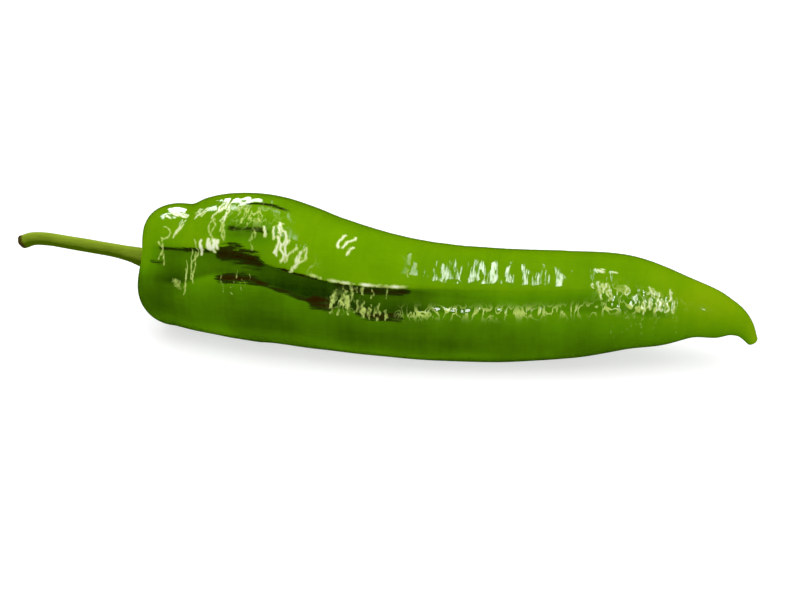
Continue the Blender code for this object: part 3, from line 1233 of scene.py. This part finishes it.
@dataclass(frozen=True)
class FibrousGreen:
    """Fresh plant stalk or calyx: matt green skin with fine fibres along it.

    Attributes:
        name: The finish's name.
        pale: The colour of the ribs, and the painted light on the stem's upper side.
        deep: The colour between them, and the painted shade on the stem's underside.
        fibre: Width and length of the fibres, in millimetres.
        blotch: Size of the paler blotches, in millimetres.
        dried: The brown of dried edges.
    """

    name: str
    pale: str
    deep: str
    fibre: tuple[float, float]
    blotch: float = 6.0
    dried: str = "#33240f"

    def make(self) -> bpy.types.Material:
        """Makes the material.

        Returns:
            The material.
        """
        made, tree, shader = new_material(self.name)
        width, length = self.fibre
        scale = (1 / (length * MM), 1 / (width * MM), 1 / (width * MM))
        place = add_node(tree, "ShaderNodeTexCoord").outputs["Object"]
        drawn = add_node(tree, "ShaderNodeMapping", {"Vector": place, "Scale": scale}).outputs[0]
        fibres = add_node(
            tree, "ShaderNodeTexNoise", {"Vector": drawn, "Scale": 1.0, "Detail": 3.0}
        ).outputs["Fac"]
        blotch = add_node(
            tree,
            "ShaderNodeTexNoise",
            {"Vector": place, "Scale": 1 / (self.blotch * MM), "Detail": 2.0},
        ).outputs["Fac"]
        # On the stem the rib mark also carries painted light: paler on top, darker below.
        rib = add_node(tree, "ShaderNodeAttribute", attribute_name="rib").outputs["Fac"]
        share = add_node(
            tree, "ShaderNodeMath", {0: fibres, 1: 0.55, 2: rib}, operation="MULTIPLY_ADD"
        ).outputs[0]
        share = add_node(
            tree, "ShaderNodeMath", {0: blotch, 1: 0.35, 2: share}, operation="MULTIPLY_ADD"
        ).outputs[0]
        share = add_node(
            tree, "ShaderNodeMapRange", {"Value": share, "From Min": 0.35, "From Max": 1.25}
        ).outputs[0]
        colour = add_node(
            tree,
            "ShaderNodeMix",
            {0: share, 6: linear(self.deep), 7: linear(self.pale)},
            data_type="RGBA",
        ).outputs[2]
        brown = add_node(tree, "ShaderNodeAttribute", attribute_name="dried").outputs["Fac"]
        dried = add_node(
            tree, "ShaderNodeMath", {0: fibres, 1: 0.8, 2: brown}, operation="MULTIPLY_ADD"
        ).outputs[0]
        dried = add_node(
            tree, "ShaderNodeMapRange", {"Value": dried, "From Min": 0.75, "From Max": 1.1}
        ).outputs[0]
        colour = add_node(
            tree, "ShaderNodeMix", {0: dried, 6: colour, 7: linear(self.dried)}, data_type="RGBA"
        ).outputs[2]
        bump = add_node(
            tree, "ShaderNodeBump", {"Height": fibres, "Strength": 0.6, "Distance": 0.08 * MM}
        ).outputs["Normal"]
        tree.links.new(colour, shader.inputs["Base Color"])
        tree.links.new(bump, shader.inputs["Normal"])
        shader.inputs["Roughness"].default_value = 0.55
        shader.inputs["Specular IOR Level"].default_value = 0.0
        return made


# ---------------------------------------------------------------------------------------------
# Pieces
# ---------------------------------------------------------------------------------------------


def new_ball(name: str, segments: int, rings: int) -> bpy.types.Object:
    """Adds a ball to be shaped ring by ring.

    Args:
        name: The piece's name.
        segments: How many faces go round it.
        rings: How many go from pole to pole.

    Returns:
        The ball.
    """
    bpy.ops.object.select_all(action="DESELECT")
    bpy.ops.mesh.primitive_uv_sphere_add(segments=segments, ring_count=rings, radius=1.0)
    ball = bpy.context.active_object
    ball.name = ball.data.name = name
    return ball


def ring_places(ball: bpy.types.Object, segments: int, rings: int) -> tuple[np.ndarray, np.ndarray]:
    """The ring and the segment of each of a new ball's points.

    Args:
        ball: A ball from new_ball.
        segments: Its segments.
        rings: Its rings.

    Returns:
        The ring, from 0 to rings, and the segment, from 0, of each point.
    """
    flat = np.empty(len(ball.data.vertices) * 3)
    ball.data.vertices.foreach_get("co", flat)
    places = flat.reshape(-1, 3)
    ring = np.rint(np.arccos(np.clip(places[:, 2], -1, 1)) / math.pi * rings).astype(int)
    turn = np.arctan2(places[:, 1], places[:, 0]) / (2 * math.pi) * segments
    # The first segment starts at +Y, which is half a segment off unless four divides them.
    return ring, np.floor(turn + 0.25).astype(int) % segments


def shape_ball(
    ball: bpy.types.Object, grid: np.ndarray, marks: dict[str, np.ndarray] | None = None
) -> None:
    """Moves a new ball's points onto a grid and gives them their marks.

    Args:
        ball: A ball from new_ball.
        grid: Its points, by ring and segment.
        marks: Values for its points by attribute name, by ring and segment.
    """
    rings, segments = grid.shape[0] - 1, grid.shape[1]
    ring, segment = ring_places(ball, segments, rings)
    ball.data.vertices.foreach_set("co", grid[ring, segment].ravel())
    for name, values in (marks or {}).items():
        attribute = ball.data.attributes.new(name, "FLOAT", "POINT")
        attribute.data.foreach_set("value", values[ring, segment].astype(np.float32))
    ball.data.update()
    bpy.ops.object.mode_set(mode="EDIT")
    bpy.ops.mesh.select_all(action="SELECT")
    bpy.ops.mesh.normals_make_consistent(inside=False)
    bpy.ops.object.mode_set(mode="OBJECT")
    bpy.ops.object.shade_smooth()


def outward(grid: np.ndarray) -> np.ndarray:
    """The outward normals of a grid of points.

    Args:
        grid: The points, by ring from the hollow and by segment.

    Returns:
        The normals, by ring and segment.
    """
    down = np.gradient(grid, axis=0)
    ahead = np.roll(grid, -1, axis=1) - np.roll(grid, 1, axis=1)
    return unit(np.cross(ahead, down))


@dataclass
class Pod:
    """The pod, one closed skin that is hollow at its stem end.

    Attributes:
        form: Its form.
        segments: How many faces go round it.
        hollow_rings: How many rings the hollow has.
        roll_rings: How many the shoulder's roll has.
        body_rings: How many the body has.
        tip_rings: How many the tip's rounding has.
        crowding: How far the segments crowd towards the front.
        front: The angle of the front.
        easing: How far the body's rings crowd towards its two ends.
        shift: From the form's own origin to the model's.
    """

    form: PodForm = field(default_factory=PodForm)
    segments: int = 210
    hollow_rings: int = 18
    roll_rings: int = 34
    body_rings: int = 394
    tip_rings: int = 8
    crowding: float = 0.30
    front: float = 140.0
    easing: float = 0.03
    shift: np.ndarray = field(default_factory=lambda: np.zeros(3))

    @property
    def rings(self) -> int:
        """How many rings it has from pole to pole."""
        return self.hollow_rings + self.roll_rings + self.body_rings + self.tip_rings

    def angles(self) -> np.ndarray:
        """The angle of each segment, which crowd at the front."""
        even = np.arange(self.segments) / self.segments * 360.0
        return even - math.degrees(self.crowding) * np.sin(np.radians(even - self.front))

    def grid(self) -> tuple[np.ndarray, np.ndarray, np.ndarray]:
        """Its points, without what grows on the skin.

        Returns:
            The points, their share of the length and their angle, by ring and segment.
        """
        form, angles = self.form, self.angles()
        rows, shares = [], []
        rim = form.rim_radius()
        for i in range(self.hollow_rings):
            radius = rim * i / self.hollow_rings
            rows.append(form.hollow(np.full_like(angles, radius), angles))
            shares.append(-(rim - radius) / form.length)
        for i in range(self.roll_rings):
            roll = i / self.roll_rings
            rows.append(form.shoulder(np.array(roll), angles))
            shares.append(form.first - form.roll / form.length * math.cos(roll * math.pi / 2))
        span = form.last - form.first
        even = np.arange(self.body_rings) / self.body_rings
        eased = form.first + span * (even - self.easing * np.sin(2 * math.pi * even))
        body = form.body(eased, angles)
        for i in range(self.tip_rings + 1):
            share = np.full_like(angles, i / self.tip_rings)
            rows.append(form.tip(share, angles))
            advance = form.tip_rounding * math.sin(i / self.tip_rings)
            shares.append(form.last + advance / form.length)
        front = self.hollow_rings + self.roll_rings
        points = np.concatenate((np.array(rows[:front]), body, np.array(rows[front:])))
        along = np.concatenate((shares[:front], eased, shares[front:]))
        return points, *np.meshgrid(along, angles, indexing="ij")

    def relief(
        self, share: np.ndarray, angle: np.ndarray, radius: np.ndarray
    ) -> dict[str, np.ndarray]:
        """What stands on the skin, and the masks that go with it.

        Args:
            share: Share of the length of each point.
            angle: Angle of each point.
            radius: Radius of the skin at each point.

        Returns:
            By name, "height" in metres and how strong each marking is.
        """
        form = self.form
        turn = np.radians(angle)
        along = share * form.length / MM
        ring = np.stack((radius * np.cos(turn), radius * np.sin(turn)), axis=-1) / MM

        def drawn(width: float, length: float, seed: float) -> np.ndarray:
            """Noise with features of that width along the pod and that length round it."""
            return perlin(
                np.concatenate(((along / width + seed)[..., None], ring / length + seed), axis=-1)
            )

        crinkled = sum(patch.mask(share, angle, form.length) for patch in CRINKLED)
        crinkled = np.clip(crinkled, 0.0, 1.0)
        rippled = RIPPLED.mask(share, angle, radius, form.length)
        draws = np.random.default_rng(7)
        # Scars past a strength of 1, and the pale lip, carry painted highlights.
        scars = [scar.mask(share, angle, radius, form.length, draws) for scar in SCARS_AND_HIGHLIGHTS]
        scars_and_highlights = np.max(scars, axis=0)
        lip_highlight = LIP_HIGHLIGHT.mask(share, angle, radius, form.length)
        cork_and_highlight = np.maximum(scars_and_highlights, lip_highlight * (1.0 + 0.9 * drawn(2.2, 3.0, 51.0)))
        lace = LACE.mask(share, angle, radius, form.length)
        lace = lace + sum(patch.mask(share, angle, form.length) for patch in CRAZED)
        dull = sum(patch.mask(share, angle, form.length) for patch in DULLED)
        painted_shade = sum(patch.mask(share, angle, form.length) for patch in PAINTED_SHADE)
        scorched = sum(line.mask(share, angle, radius, form.length) for line in SCORCHED)
        # The upper crease is cut sharply under a brow; the lower lip stands over a groove.
        below = UPPER_CREASE.offset(share, angle, radius)
        sharp = UPPER_CREASE.span(share, form.length)
        sharp = sharp * (1 - 0.85 * smoothstep((share - 0.40) / 0.22))
        crease = sharp * smoothstep((below + 0.1) / 0.6)
        crease = crease * np.exp(-((np.maximum(below, 0) / 3.0) ** 2))
        brow = sharp * np.exp(-(((below + 0.9) / 0.9) ** 2))
        past = LOWER_LIP.offset(share, angle, radius)
        raised = LOWER_LIP.span(share, form.length)
        raised = raised * (0.10 + 0.65 * smoothstep((share - 0.42) / 0.10))
        lip = raised * np.exp(-((past / LOWER_LIP.half_width) ** 2))
        groove = raised * np.exp(-(((past + 2.0) / 1.0) ** 2))
        # Between creases of the crinkled skin stand small pillows.
        warp = drawn(9.0, 9.0, 3.0)
        pillow = perlin(
            np.concatenate(((along / 5.4 + 0.5 * warp)[..., None], ring / 12.0 + 2.0), axis=-1)
        )
        # Heights are in millimetres.
        height = (
            0.28 * drawn(24.0, 20.0, 5.0)
            + 0.10 * drawn(10.0, 12.0, 9.0)
            + (0.02 + 0.34 * crinkled) * (np.abs(pillow) ** 0.8 - 0.2)
            + 0.07 * scars_and_highlights
            + (0.006 + 0.05 * crinkled) * drawn(1.3, 5.0, 14.0)
            + 0.06 * crinkled * drawn(1.8, 1.8, 41.0)
            + 0.24 * rippled * drawn(1.7, 2.2, 61.0)
            + 0.02 * drawn(30.0, 3.0, 21.0)
            - 0.85 * crease
            + 0.22 * brow
            + 0.12 * lip
            - 0.20 * groove
        )
        # Nothing stands on the skin at the two ends, where its points come together.
        ends = smoothstep((share + 0.05) / 0.06) * smoothstep((1.0 - share) / 0.02)
        # Painted shade: the colour is darker in the front valley.
        # Near the stem the valley runs on down over the lower lobe.
        drop = 4.0 * (1 - smoothstep((share - 0.08) / 0.10))
        soft = 0.9 + 2.6 * smoothstep((share - 0.40) / 0.2)
        valley = smoothstep((below + 0.3 * soft) / soft)
        valley = valley * (1 - smoothstep((past + 1.2 - drop) / 1.8))
        valley = valley * UPPER_CREASE.span(share, form.length)
        valley = valley * (0.75 + 0.35 * np.exp(-(((share - 0.33) / 0.10) ** 2)))
        valley = valley * (1 - 0.45 * smoothstep((share - 0.42) / 0.2))
        # Painted light: the colour is paler towards the top, as lit from above.
        top = 0.5 + 0.5 * np.cos(np.radians(angle - 96.0))
        # Painted shade: the lower lobe is darker towards the stem.
        low_lobe = smoothstep((angle - 150.0) / 22.0) * (1 - smoothstep((angle - 190.0) / 25.0))
        deep = low_lobe * (1 - smoothstep((share - 0.45) / 0.4))
        deep = deep * (1 - 0.6 * np.exp(-(((share - 0.13) / 0.06) ** 2)))
        # Painted reflection of the floor: the lower lobe is paler again where it lies.
        floor_reflection = np.exp(-(((angle - 217.0) / 11.0) ** 2)) * (0.6 + 0.8 * drawn(14.0, 5.0, 31.0))
        floor_reflection = floor_reflection * smoothstep((share - 0.04) / 0.1) * (1 - smoothstep((share - 0.5) / 0.3))
        shade_and_tone = (
            0.34
            + 0.44 * smoothstep(top * 1.1 - 0.05)
            - 0.50 * valley
            - 0.22 * deep
            + 0.24 * floor_reflection
            + 0.18 * smoothstep((share - 0.72) / 0.25)
            - painted_shade
        )
        return {
            "height": height * MM * ends,
            Marking.SHADE_AND_TONE.value: shade_and_tone,
            Marking.CRINKLE.value: crinkled,
            Marking.CORK_AND_HIGHLIGHT.value: np.clip(cork_and_highlight, 0.0, 1.6),
            Marking.LACE.value: lace,
            Marking.DULL.value: np.clip(dull, 0.0, 1.2),
            Marking.SCORCH.value: scorched,
        }

    def build(self) -> bpy.types.Object:
        """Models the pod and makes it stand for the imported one.

        Returns:
            The pod.
        """
        points, share, angle = self.grid()
        low, high = (np.array(corner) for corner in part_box("pod"))
        middle = (points.reshape(-1, 3).min(0) + points.reshape(-1, 3).max(0)) / 2
        self.shift = (low + high) / 2 - middle
        self.shift[2] = high[2] - points[..., 2].max()
        radius = self.form.skin_radius(np.clip(share, self.form.first, self.form.last), angle)
        relief = self.relief(share, angle, radius)
        points = points + outward(points) * relief.pop("height")[..., None] + self.shift
        points[0] = points[0].mean(axis=0)
        points[-1] = points[-1].mean(axis=0)
        # Its own weight presses it flat where it lies.
        points[..., 2] = np.maximum(points[..., 2], 0.0)
        pod = new_ball("pod_skin", self.segments, self.rings)
        shape_ball(pod, points, relief)
        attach(pod, "root")
        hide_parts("pod")
        return pod

    def dress(self, pod: bpy.types.Object) -> None:
        """Gives the pod its finish."""
        pod.data.materials.append(WaxedPepperSkin().make())


@dataclass
class Calyx:
    """The cap that hugs the hollow, with short teeth, veins and a collar for the stem.

    Attributes:
        pod: The pod that it grows on.
        radius: Its radius between the teeth.
        thickness: Its thickness at the edge.
        teeth: How many teeth it has.
        tooth: How far the teeth stand out.
        collar: Radius of the collar's flat top.
        collar_height: How far the collar stands over the rest.
        collar_flare: How far the collar takes to come down.
        vein: How high the veins stand.
        clearance: The gap between it and the pod.
        segments: How many faces go round it.
        rings: How many rings it has from pole to pole.
    """

    pod: Pod
    radius: float = 0.0072
    thickness: float = 0.0011
    teeth: int = 5
    tooth: float = 0.0009
    collar: float = 0.0039
    collar_height: float = 0.0019
    collar_flare: float = 0.0020
    vein: float = 0.00022
    clearance: float = 0.0003
    segments: int = 160
    rings: int = 56

    def build(self) -> bpy.types.Object:
        """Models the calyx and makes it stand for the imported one.

        Returns:
            The calyx.
        """
        angles = np.arange(self.segments) / self.segments * 360.0
        ring, angle = np.meshgrid(np.arange(self.rings + 1), angles, indexing="ij")
        turn = math.pi * ring / self.rings
        wave = np.cos(np.radians(self.teeth * angle))
        edge = self.radius + self.tooth * np.maximum(0.0, wave) ** 2
        radius = edge * np.sin(turn)
        side = np.sign(np.cos(turn)) * np.abs(np.cos(turn)) ** 0.4
        rise = 1.0 - smoothstep((radius - self.collar) / self.collar_flare)
        thickness = self.thickness + self.collar_height * rise
        upper = 0.5 + 0.5 * side
        # A vein runs out to each tooth, with a finer one between.
        ridge = np.maximum(0.0, wave) ** 10 + 0.5 * np.maximum(0.0, -wave) ** 14
        out = smoothstep((radius - 0.5 * self.collar) / self.collar)
        vein = self.vein * ridge * out * (1 - smoothstep((radius / edge - 0.8) / 0.2))
        raised = self.clearance + (thickness + vein) * upper
        points = self.pod.form.hollow(radius, angle, raised) + self.pod.shift
        calyx = new_ball("calyx_cap", self.segments, self.rings)
        marks = {
            "rib": 0.15 + 0.5 * ridge * out,
            "dried": 0.45 * smoothstep((radius / edge - 0.86) / 0.14),
        }
        shape_ball(calyx, points, marks)
        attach(calyx, "root")
        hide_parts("calyx")
        return calyx

    def dress(self, calyx: bpy.types.Object) -> None:
        """Gives the calyx its finish."""
        green = FibrousGreen("calyx_matt_green", pale="#7f9c35", deep="#3f6313", fibre=(0.5, 0.9))
        calyx.data.materials.append(green.make())


@dataclass
class Stem:
    """The stalk: five soft ribs, a flared foot, and a hooked end with a slanting cut.

    Attributes:
        pod: The pod that it grows on.
        calyx: The calyx that it stands on.
        route: Distances back from the collar, to +Y and up, to the cut end.
        foot: Radius of its foot.
        shaft: Radius of its shaft.
        end: Radius of its cut end.
        flare_ends: The share of the route where the foot's flare ends.
        ribs: How many ribs it has.
        rib: How deep it is cut between them.
        twist: How far the ribs turn from foot to end, in radians.
        knob: How high its knobs stand.
        dome: How far its cut end is domed.
        pith_depth: How far the end's pith is sunken.
        slant: How far the cut slants to either side.
        segments: How many faces go round it.
        rings: How many rings it has from pole to pole.
        foot_rings: How many of them the foot's underside has.
        end_rings: How many the cut end has.
    """

    pod: Pod
    calyx: Calyx
    route: tuple[tuple[float, float, float], ...] = (
        (0.0000, 0.0000, 0.0000),
        (0.0030, 0.0000, 0.0000),
        (0.0080, 0.0004, 0.0009),
        (0.0140, 0.0008, 0.0016),
        (0.0220, 0.0013, 0.0021),
        (0.0300, 0.0018, 0.0026),
        (0.0345, 0.0020, 0.0028),
        (0.0384, 0.0022, 0.0024),
        (0.0418, 0.0024, 0.0010),
    )
    foot: float = 0.0036
    shaft: float = 0.0020
    end: float = 0.0021
    flare_ends: float = 0.52
    ribs: int = 5
    rib: float = 0.00022
    twist: float = 0.5
    knob: float = 0.00010
    dome: float = 0.0014
    pith_depth: float = 0.0006
    slant: float = 0.0003
    segments: int = 96
    rings: int = 170
    foot_rings: int = 8
    end_rings: int = 14

    def build(self) -> bpy.types.Object:
        """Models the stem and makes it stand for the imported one.

        Returns:
            The stem.
        """
        form = self.pod.form
        _, (along, across, upward) = form.rim_plane()
        calyx = self.calyx
        top = 2 * calyx.clearance + calyx.thickness + calyx.collar_height
        start = form.hollow(np.zeros(1), np.zeros(1), top)[0] + self.pod.shift
        last = len(self.route) - 1
        knots = [(i / last, *offsets) for i, offsets in enumerate(self.route)]

        def spine(share: np.ndarray) -> np.ndarray:
            """Points of the stem's middle line."""
            back, side, up = (through(knots, column, share)[..., None] for column in (1, 2, 3))
            return start - along * back + across * side + upward * up

        shaft_rings = self.rings - self.foot_rings - self.end_rings
        share = np.concatenate(
            (
                np.zeros(self.foot_rings),
                np.linspace(0, 1, shaft_rings, endpoint=False),
                np.ones(self.end_rings + 1),
            )
        )
        # How much of the full radius each ring has: from nothing at the poles.
        size = np.concatenate(
            (
                np.linspace(0, 1, self.foot_rings, endpoint=False),
                np.ones(shaft_rings),
                np.cos(np.linspace(0, math.pi / 2, self.end_rings + 1)),
            )
        )
        ahead, behind = spine(np.minimum(share + 0.01, 1)), spine(np.maximum(share - 0.01, 0))
        out = unit(ahead - behind)
        right = unit(np.cross(out, np.array((0.0, 0.0, 1.0))))
        over = np.cross(right, out)
        flare = (1 - smoothstep(share / self.flare_ends)) ** 2
        shaft = self.shaft + (self.end - self.shaft) * smoothstep((share - 0.8) / 0.2)
        radius = shaft + (self.foot - shaft) * flare
        angles = np.arange(self.segments) / self.segments * 360.0
        turn = np.radians(angles)[None, :] + self.twist * share[:, None]
        wave = np.cos(self.ribs * turn)
        cut = self.rib * (0.5 - 0.5 * wave) * smoothstep((share[:, None] - 0.02) / 0.10)
        knobs = perlin(
            np.stack(
                (
                    np.broadcast_to(share[:, None] * 9, turn.shape),
                    np.cos(turn) * 0.9 + 4,
                    np.sin(turn) * 0.9,
                ),
                axis=-1,
            )
        )
        rough = self.knob * knobs * (share[:, None] > 0.02)
        radial = (radius[:, None] - cut + rough) * size[:, None]
        # The cut slants, its rim stands proud and its pith is sunken and ragged.
        ending = np.zeros(len(share))
        ending[-(self.end_rings + 1) :] = np.linspace(0, 1, self.end_rings + 1)
        sunken = self.pith_depth * smoothstep((ending - 0.45) / 0.3)
        domed = self.dome * np.sin(ending * math.pi / 2) - sunken
        slanting = (size * smoothstep((share - 0.93) / 0.07))[:, None]
        slant = self.slant * np.cos(turn) * slanting
        points = (
            spine(share)[:, None, :]
            + (radial * np.cos(turn))[..., None] * over[:, None, :]
            + (radial * np.sin(turn))[..., None] * right[:, None, :]
            + (domed[:, None] + slant)[..., None] * out[:, None, :]
        )
        points[0] = points[0].mean(axis=0)
        points[-1] = points[-1].mean(axis=0)
        stem = new_ball("stem_stalk", self.segments, self.rings)
        rim = np.exp(-(((ending - 0.12) / 0.16) ** 2)) * (ending > 0)
        dried = 0.9 * rim + 0.75 * np.exp(-(((share - 1.0) / 0.045) ** 2)) * (ending == 0)
        pith = smoothstep((ending - 0.3) / 0.2)
        # Painted light: the upper side is paler and the underside darker, as lit from above.
        lit_from_above = np.clip(1.6 * np.cos(turn - math.radians(30.0)), -1.0, 1.0)
        marks = {
            "rib": 0.24 + 0.10 * wave + 0.42 * lit_from_above + 0.3 * pith[:, None],
            "dried": np.broadcast_to(dried[:, None], turn.shape),
        }
        shape_ball(stem, points, marks)
        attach(stem, "root")
        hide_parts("stem")
        return stem

    def dress(self, stem: bpy.types.Object) -> None:
        """Gives the stem its finish."""
        # The pale green is also painted light on top; the deep green, painted shade below.
        green = FibrousGreen(
            "stalk_fibrous_green", pale="#7f9428", deep="#3b5001", fibre=(0.45, 6.0)
        )
        stem.data.materials.append(green.make())


# ---------------------------------------------------------------------------------------------
# The studio
# ---------------------------------------------------------------------------------------------


@dataclass(frozen=True)
class Softbox:
    """A softbox, turned to the pepper.

    Attributes:
        name: Its name.
        elevation: How far over the floor it stands, from the camera's side over the top.
        tilt: How far it stands round to +X.
        size: Its angular sizes along the pepper and across it, in degrees.
        power: Its power in watts.
        gloss: Whether it is for the highlights alone, or for everything but them.
    """

    name: str
    elevation: float
    tilt: float
    size: tuple[float, float]
    power: float
    gloss: bool = True


@dataclass
class Studio:
    """A pale floor, soft light from above and the camera.

    Attributes:
        target: What the camera looks at.
        azimuth: How far the camera stands round from -Y towards +X.
        elevation: How far it stands over the floor.
        distance: How far it stands from its target.
        lens: Its focal length in millimetres, on a 36 mm sensor.
        away: How far the softboxes stand from the target.
        softboxes: The key, then those that make the highlights.
    """

    target: Vector = field(default_factory=lambda: Vector((0.0064, -0.00246, 0.01425)))
    azimuth: float = 8.0
    elevation: float = 30.0
    distance: float = 0.6375
    lens: float = 100.0
    away: float = 0.9
    softboxes: tuple[Softbox, ...] = (
        Softbox("key", 95.0, 0.0, (80.0, 80.0), 11.0, gloss=False),
        Softbox("highlight", 98.0, -1.6, (8.4, 62.0), 5.6),
        Softbox("side_highlight", 134.0, -25.0, (12.0, 18.0), 1.5),
        Softbox("back_highlight", 152.0, -12.0, (12.0, 14.0), 1.5),
        Softbox("front_highlight", 42.0, 29.0, (6.0, 20.0), 1.6),
    )

    def direction(self, azimuth: float, elevation: float) -> Vector:
        """The way out from the target.

        Args:
            azimuth: How far round from -Y towards +X.
            elevation: How far over the floor.

        Returns:
            The direction, one unit long.
        """
        turn, rise = math.radians(azimuth), math.radians(elevation)
        return Vector(
            (math.sin(turn) * math.cos(rise), -math.cos(turn) * math.cos(rise), math.sin(rise))
        )

    def add_camera(self) -> None:
        """Adds the camera and makes it the scene's."""
        data = bpy.data.cameras.new("camera")
        data.lens = self.lens
        data.sensor_width = 36.0
        data.clip_start = 0.01
        camera = bpy.data.objects.new("camera", data)
        bpy.context.scene.collection.objects.link(camera)
        away = self.direction(self.azimuth, self.elevation)
        camera.location = self.target + away * self.distance
        camera.rotation_euler = away.to_track_quat("Z", "Y").to_euler()
        bpy.context.scene.camera = camera

    def add_softbox(self, box: Softbox) -> None:
        """Adds a softbox.

        Args:
            box: Where it stands, and what it gives.
        """
        data = bpy.data.lights.new(box.name, "AREA")
        data.shape = "RECTANGLE"
        data.size = 2 * self.away * math.tan(math.radians(box.size[0] / 2))
        data.size_y = 2 * self.away * math.tan(math.radians(box.size[1] / 2))
        data.energy = box.power
        lamp = bpy.data.objects.new(box.name, data)
        bpy.context.scene.collection.objects.link(lamp)
        up = Vector((0, 0, 1))
        front = self.direction(self.azimuth, 0.0)
        side = up.cross(front)
        rise, lean = math.radians(box.elevation), math.radians(box.tilt)
        out = (front * math.cos(rise) + up * math.sin(rise)) * math.cos(lean)
        out = out + side * math.sin(lean)
        along = out.cross(side.cross(out).normalized()) * -1.0
        lamp.matrix_world = placed(along, out.cross(along), out, self.target + out * self.away)
        lamp.visible_glossy = box.gloss
        lamp.visible_diffuse = not box.gloss
        lamp.visible_camera = False

    def add_floor(self) -> None:
        """Adds the floor, of pale matt board."""
        bpy.ops.object.select_all(action="DESELECT")
        bpy.ops.mesh.primitive_plane_add(size=6.0, location=(0, 0, -0.0001))
        floor = bpy.context.active_object
        floor.name = floor.data.name = "floor"
        made, _, shader = new_material("floor_pale_matt")
        shader.inputs["Base Color"].default_value = linear("#b8b8b8")
        shader.inputs["Roughness"].default_value = 0.9
        shader.inputs["Specular IOR Level"].default_value = 0.0
        # Light comes up through the board too, so that the shadow is faint.
        shader.inputs["Emission Color"].default_value = (1.0, 1.0, 1.0, 1.0)
        shader.inputs["Emission Strength"].default_value = 0.62
        floor.data.materials.append(made)
        # The fill and the floor are kept out of the highlights, as a polariser would.
        floor.visible_glossy = False

    def add_light(self) -> None:
        """Adds the light: a soft key from above, highlights and an even fill."""
        for box in self.softboxes:
            self.add_softbox(box)
        world = bpy.data.worlds.new("studio")
        bpy.context.scene.world = world
        world.use_nodes = True
        back = world.node_tree.nodes["Background"]
        back.inputs["Color"].default_value = (1.0, 1.0, 1.0, 1.0)
        back.inputs["Strength"].default_value = 0.85
        world.cycles_visibility.glossy = False

    def build(self) -> None:
        """Sets up the camera, the floor, the light and the view."""
        self.add_camera()
        self.add_floor()
        self.add_light()
        bpy.context.scene.view_settings.view_transform = "Standard"


def placed(x: Vector, y: Vector, z: Vector, place: Vector) -> Matrix:
    """A place and the directions of three axes as one matrix."""
    return Matrix.Translation(place) @ Matrix((x, y, z)).transposed().to_4x4()


def main() -> None:
    """Builds the pepper piece by piece, then the studio."""
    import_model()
    pod = Pod()
    calyx = Calyx(pod)
    stem = Stem(pod, calyx)
    for name, part in (("pod", pod), ("calyx", calyx), ("stem", stem)):
        piece = part.build()
        part.dress(piece)
        LOG.info("%s: %d faces", name, len(piece.data.polygons))
    Studio().build()


if __name__ == "__main__":
    logging.basicConfig(level=logging.INFO, format="%(message)s")
    main()
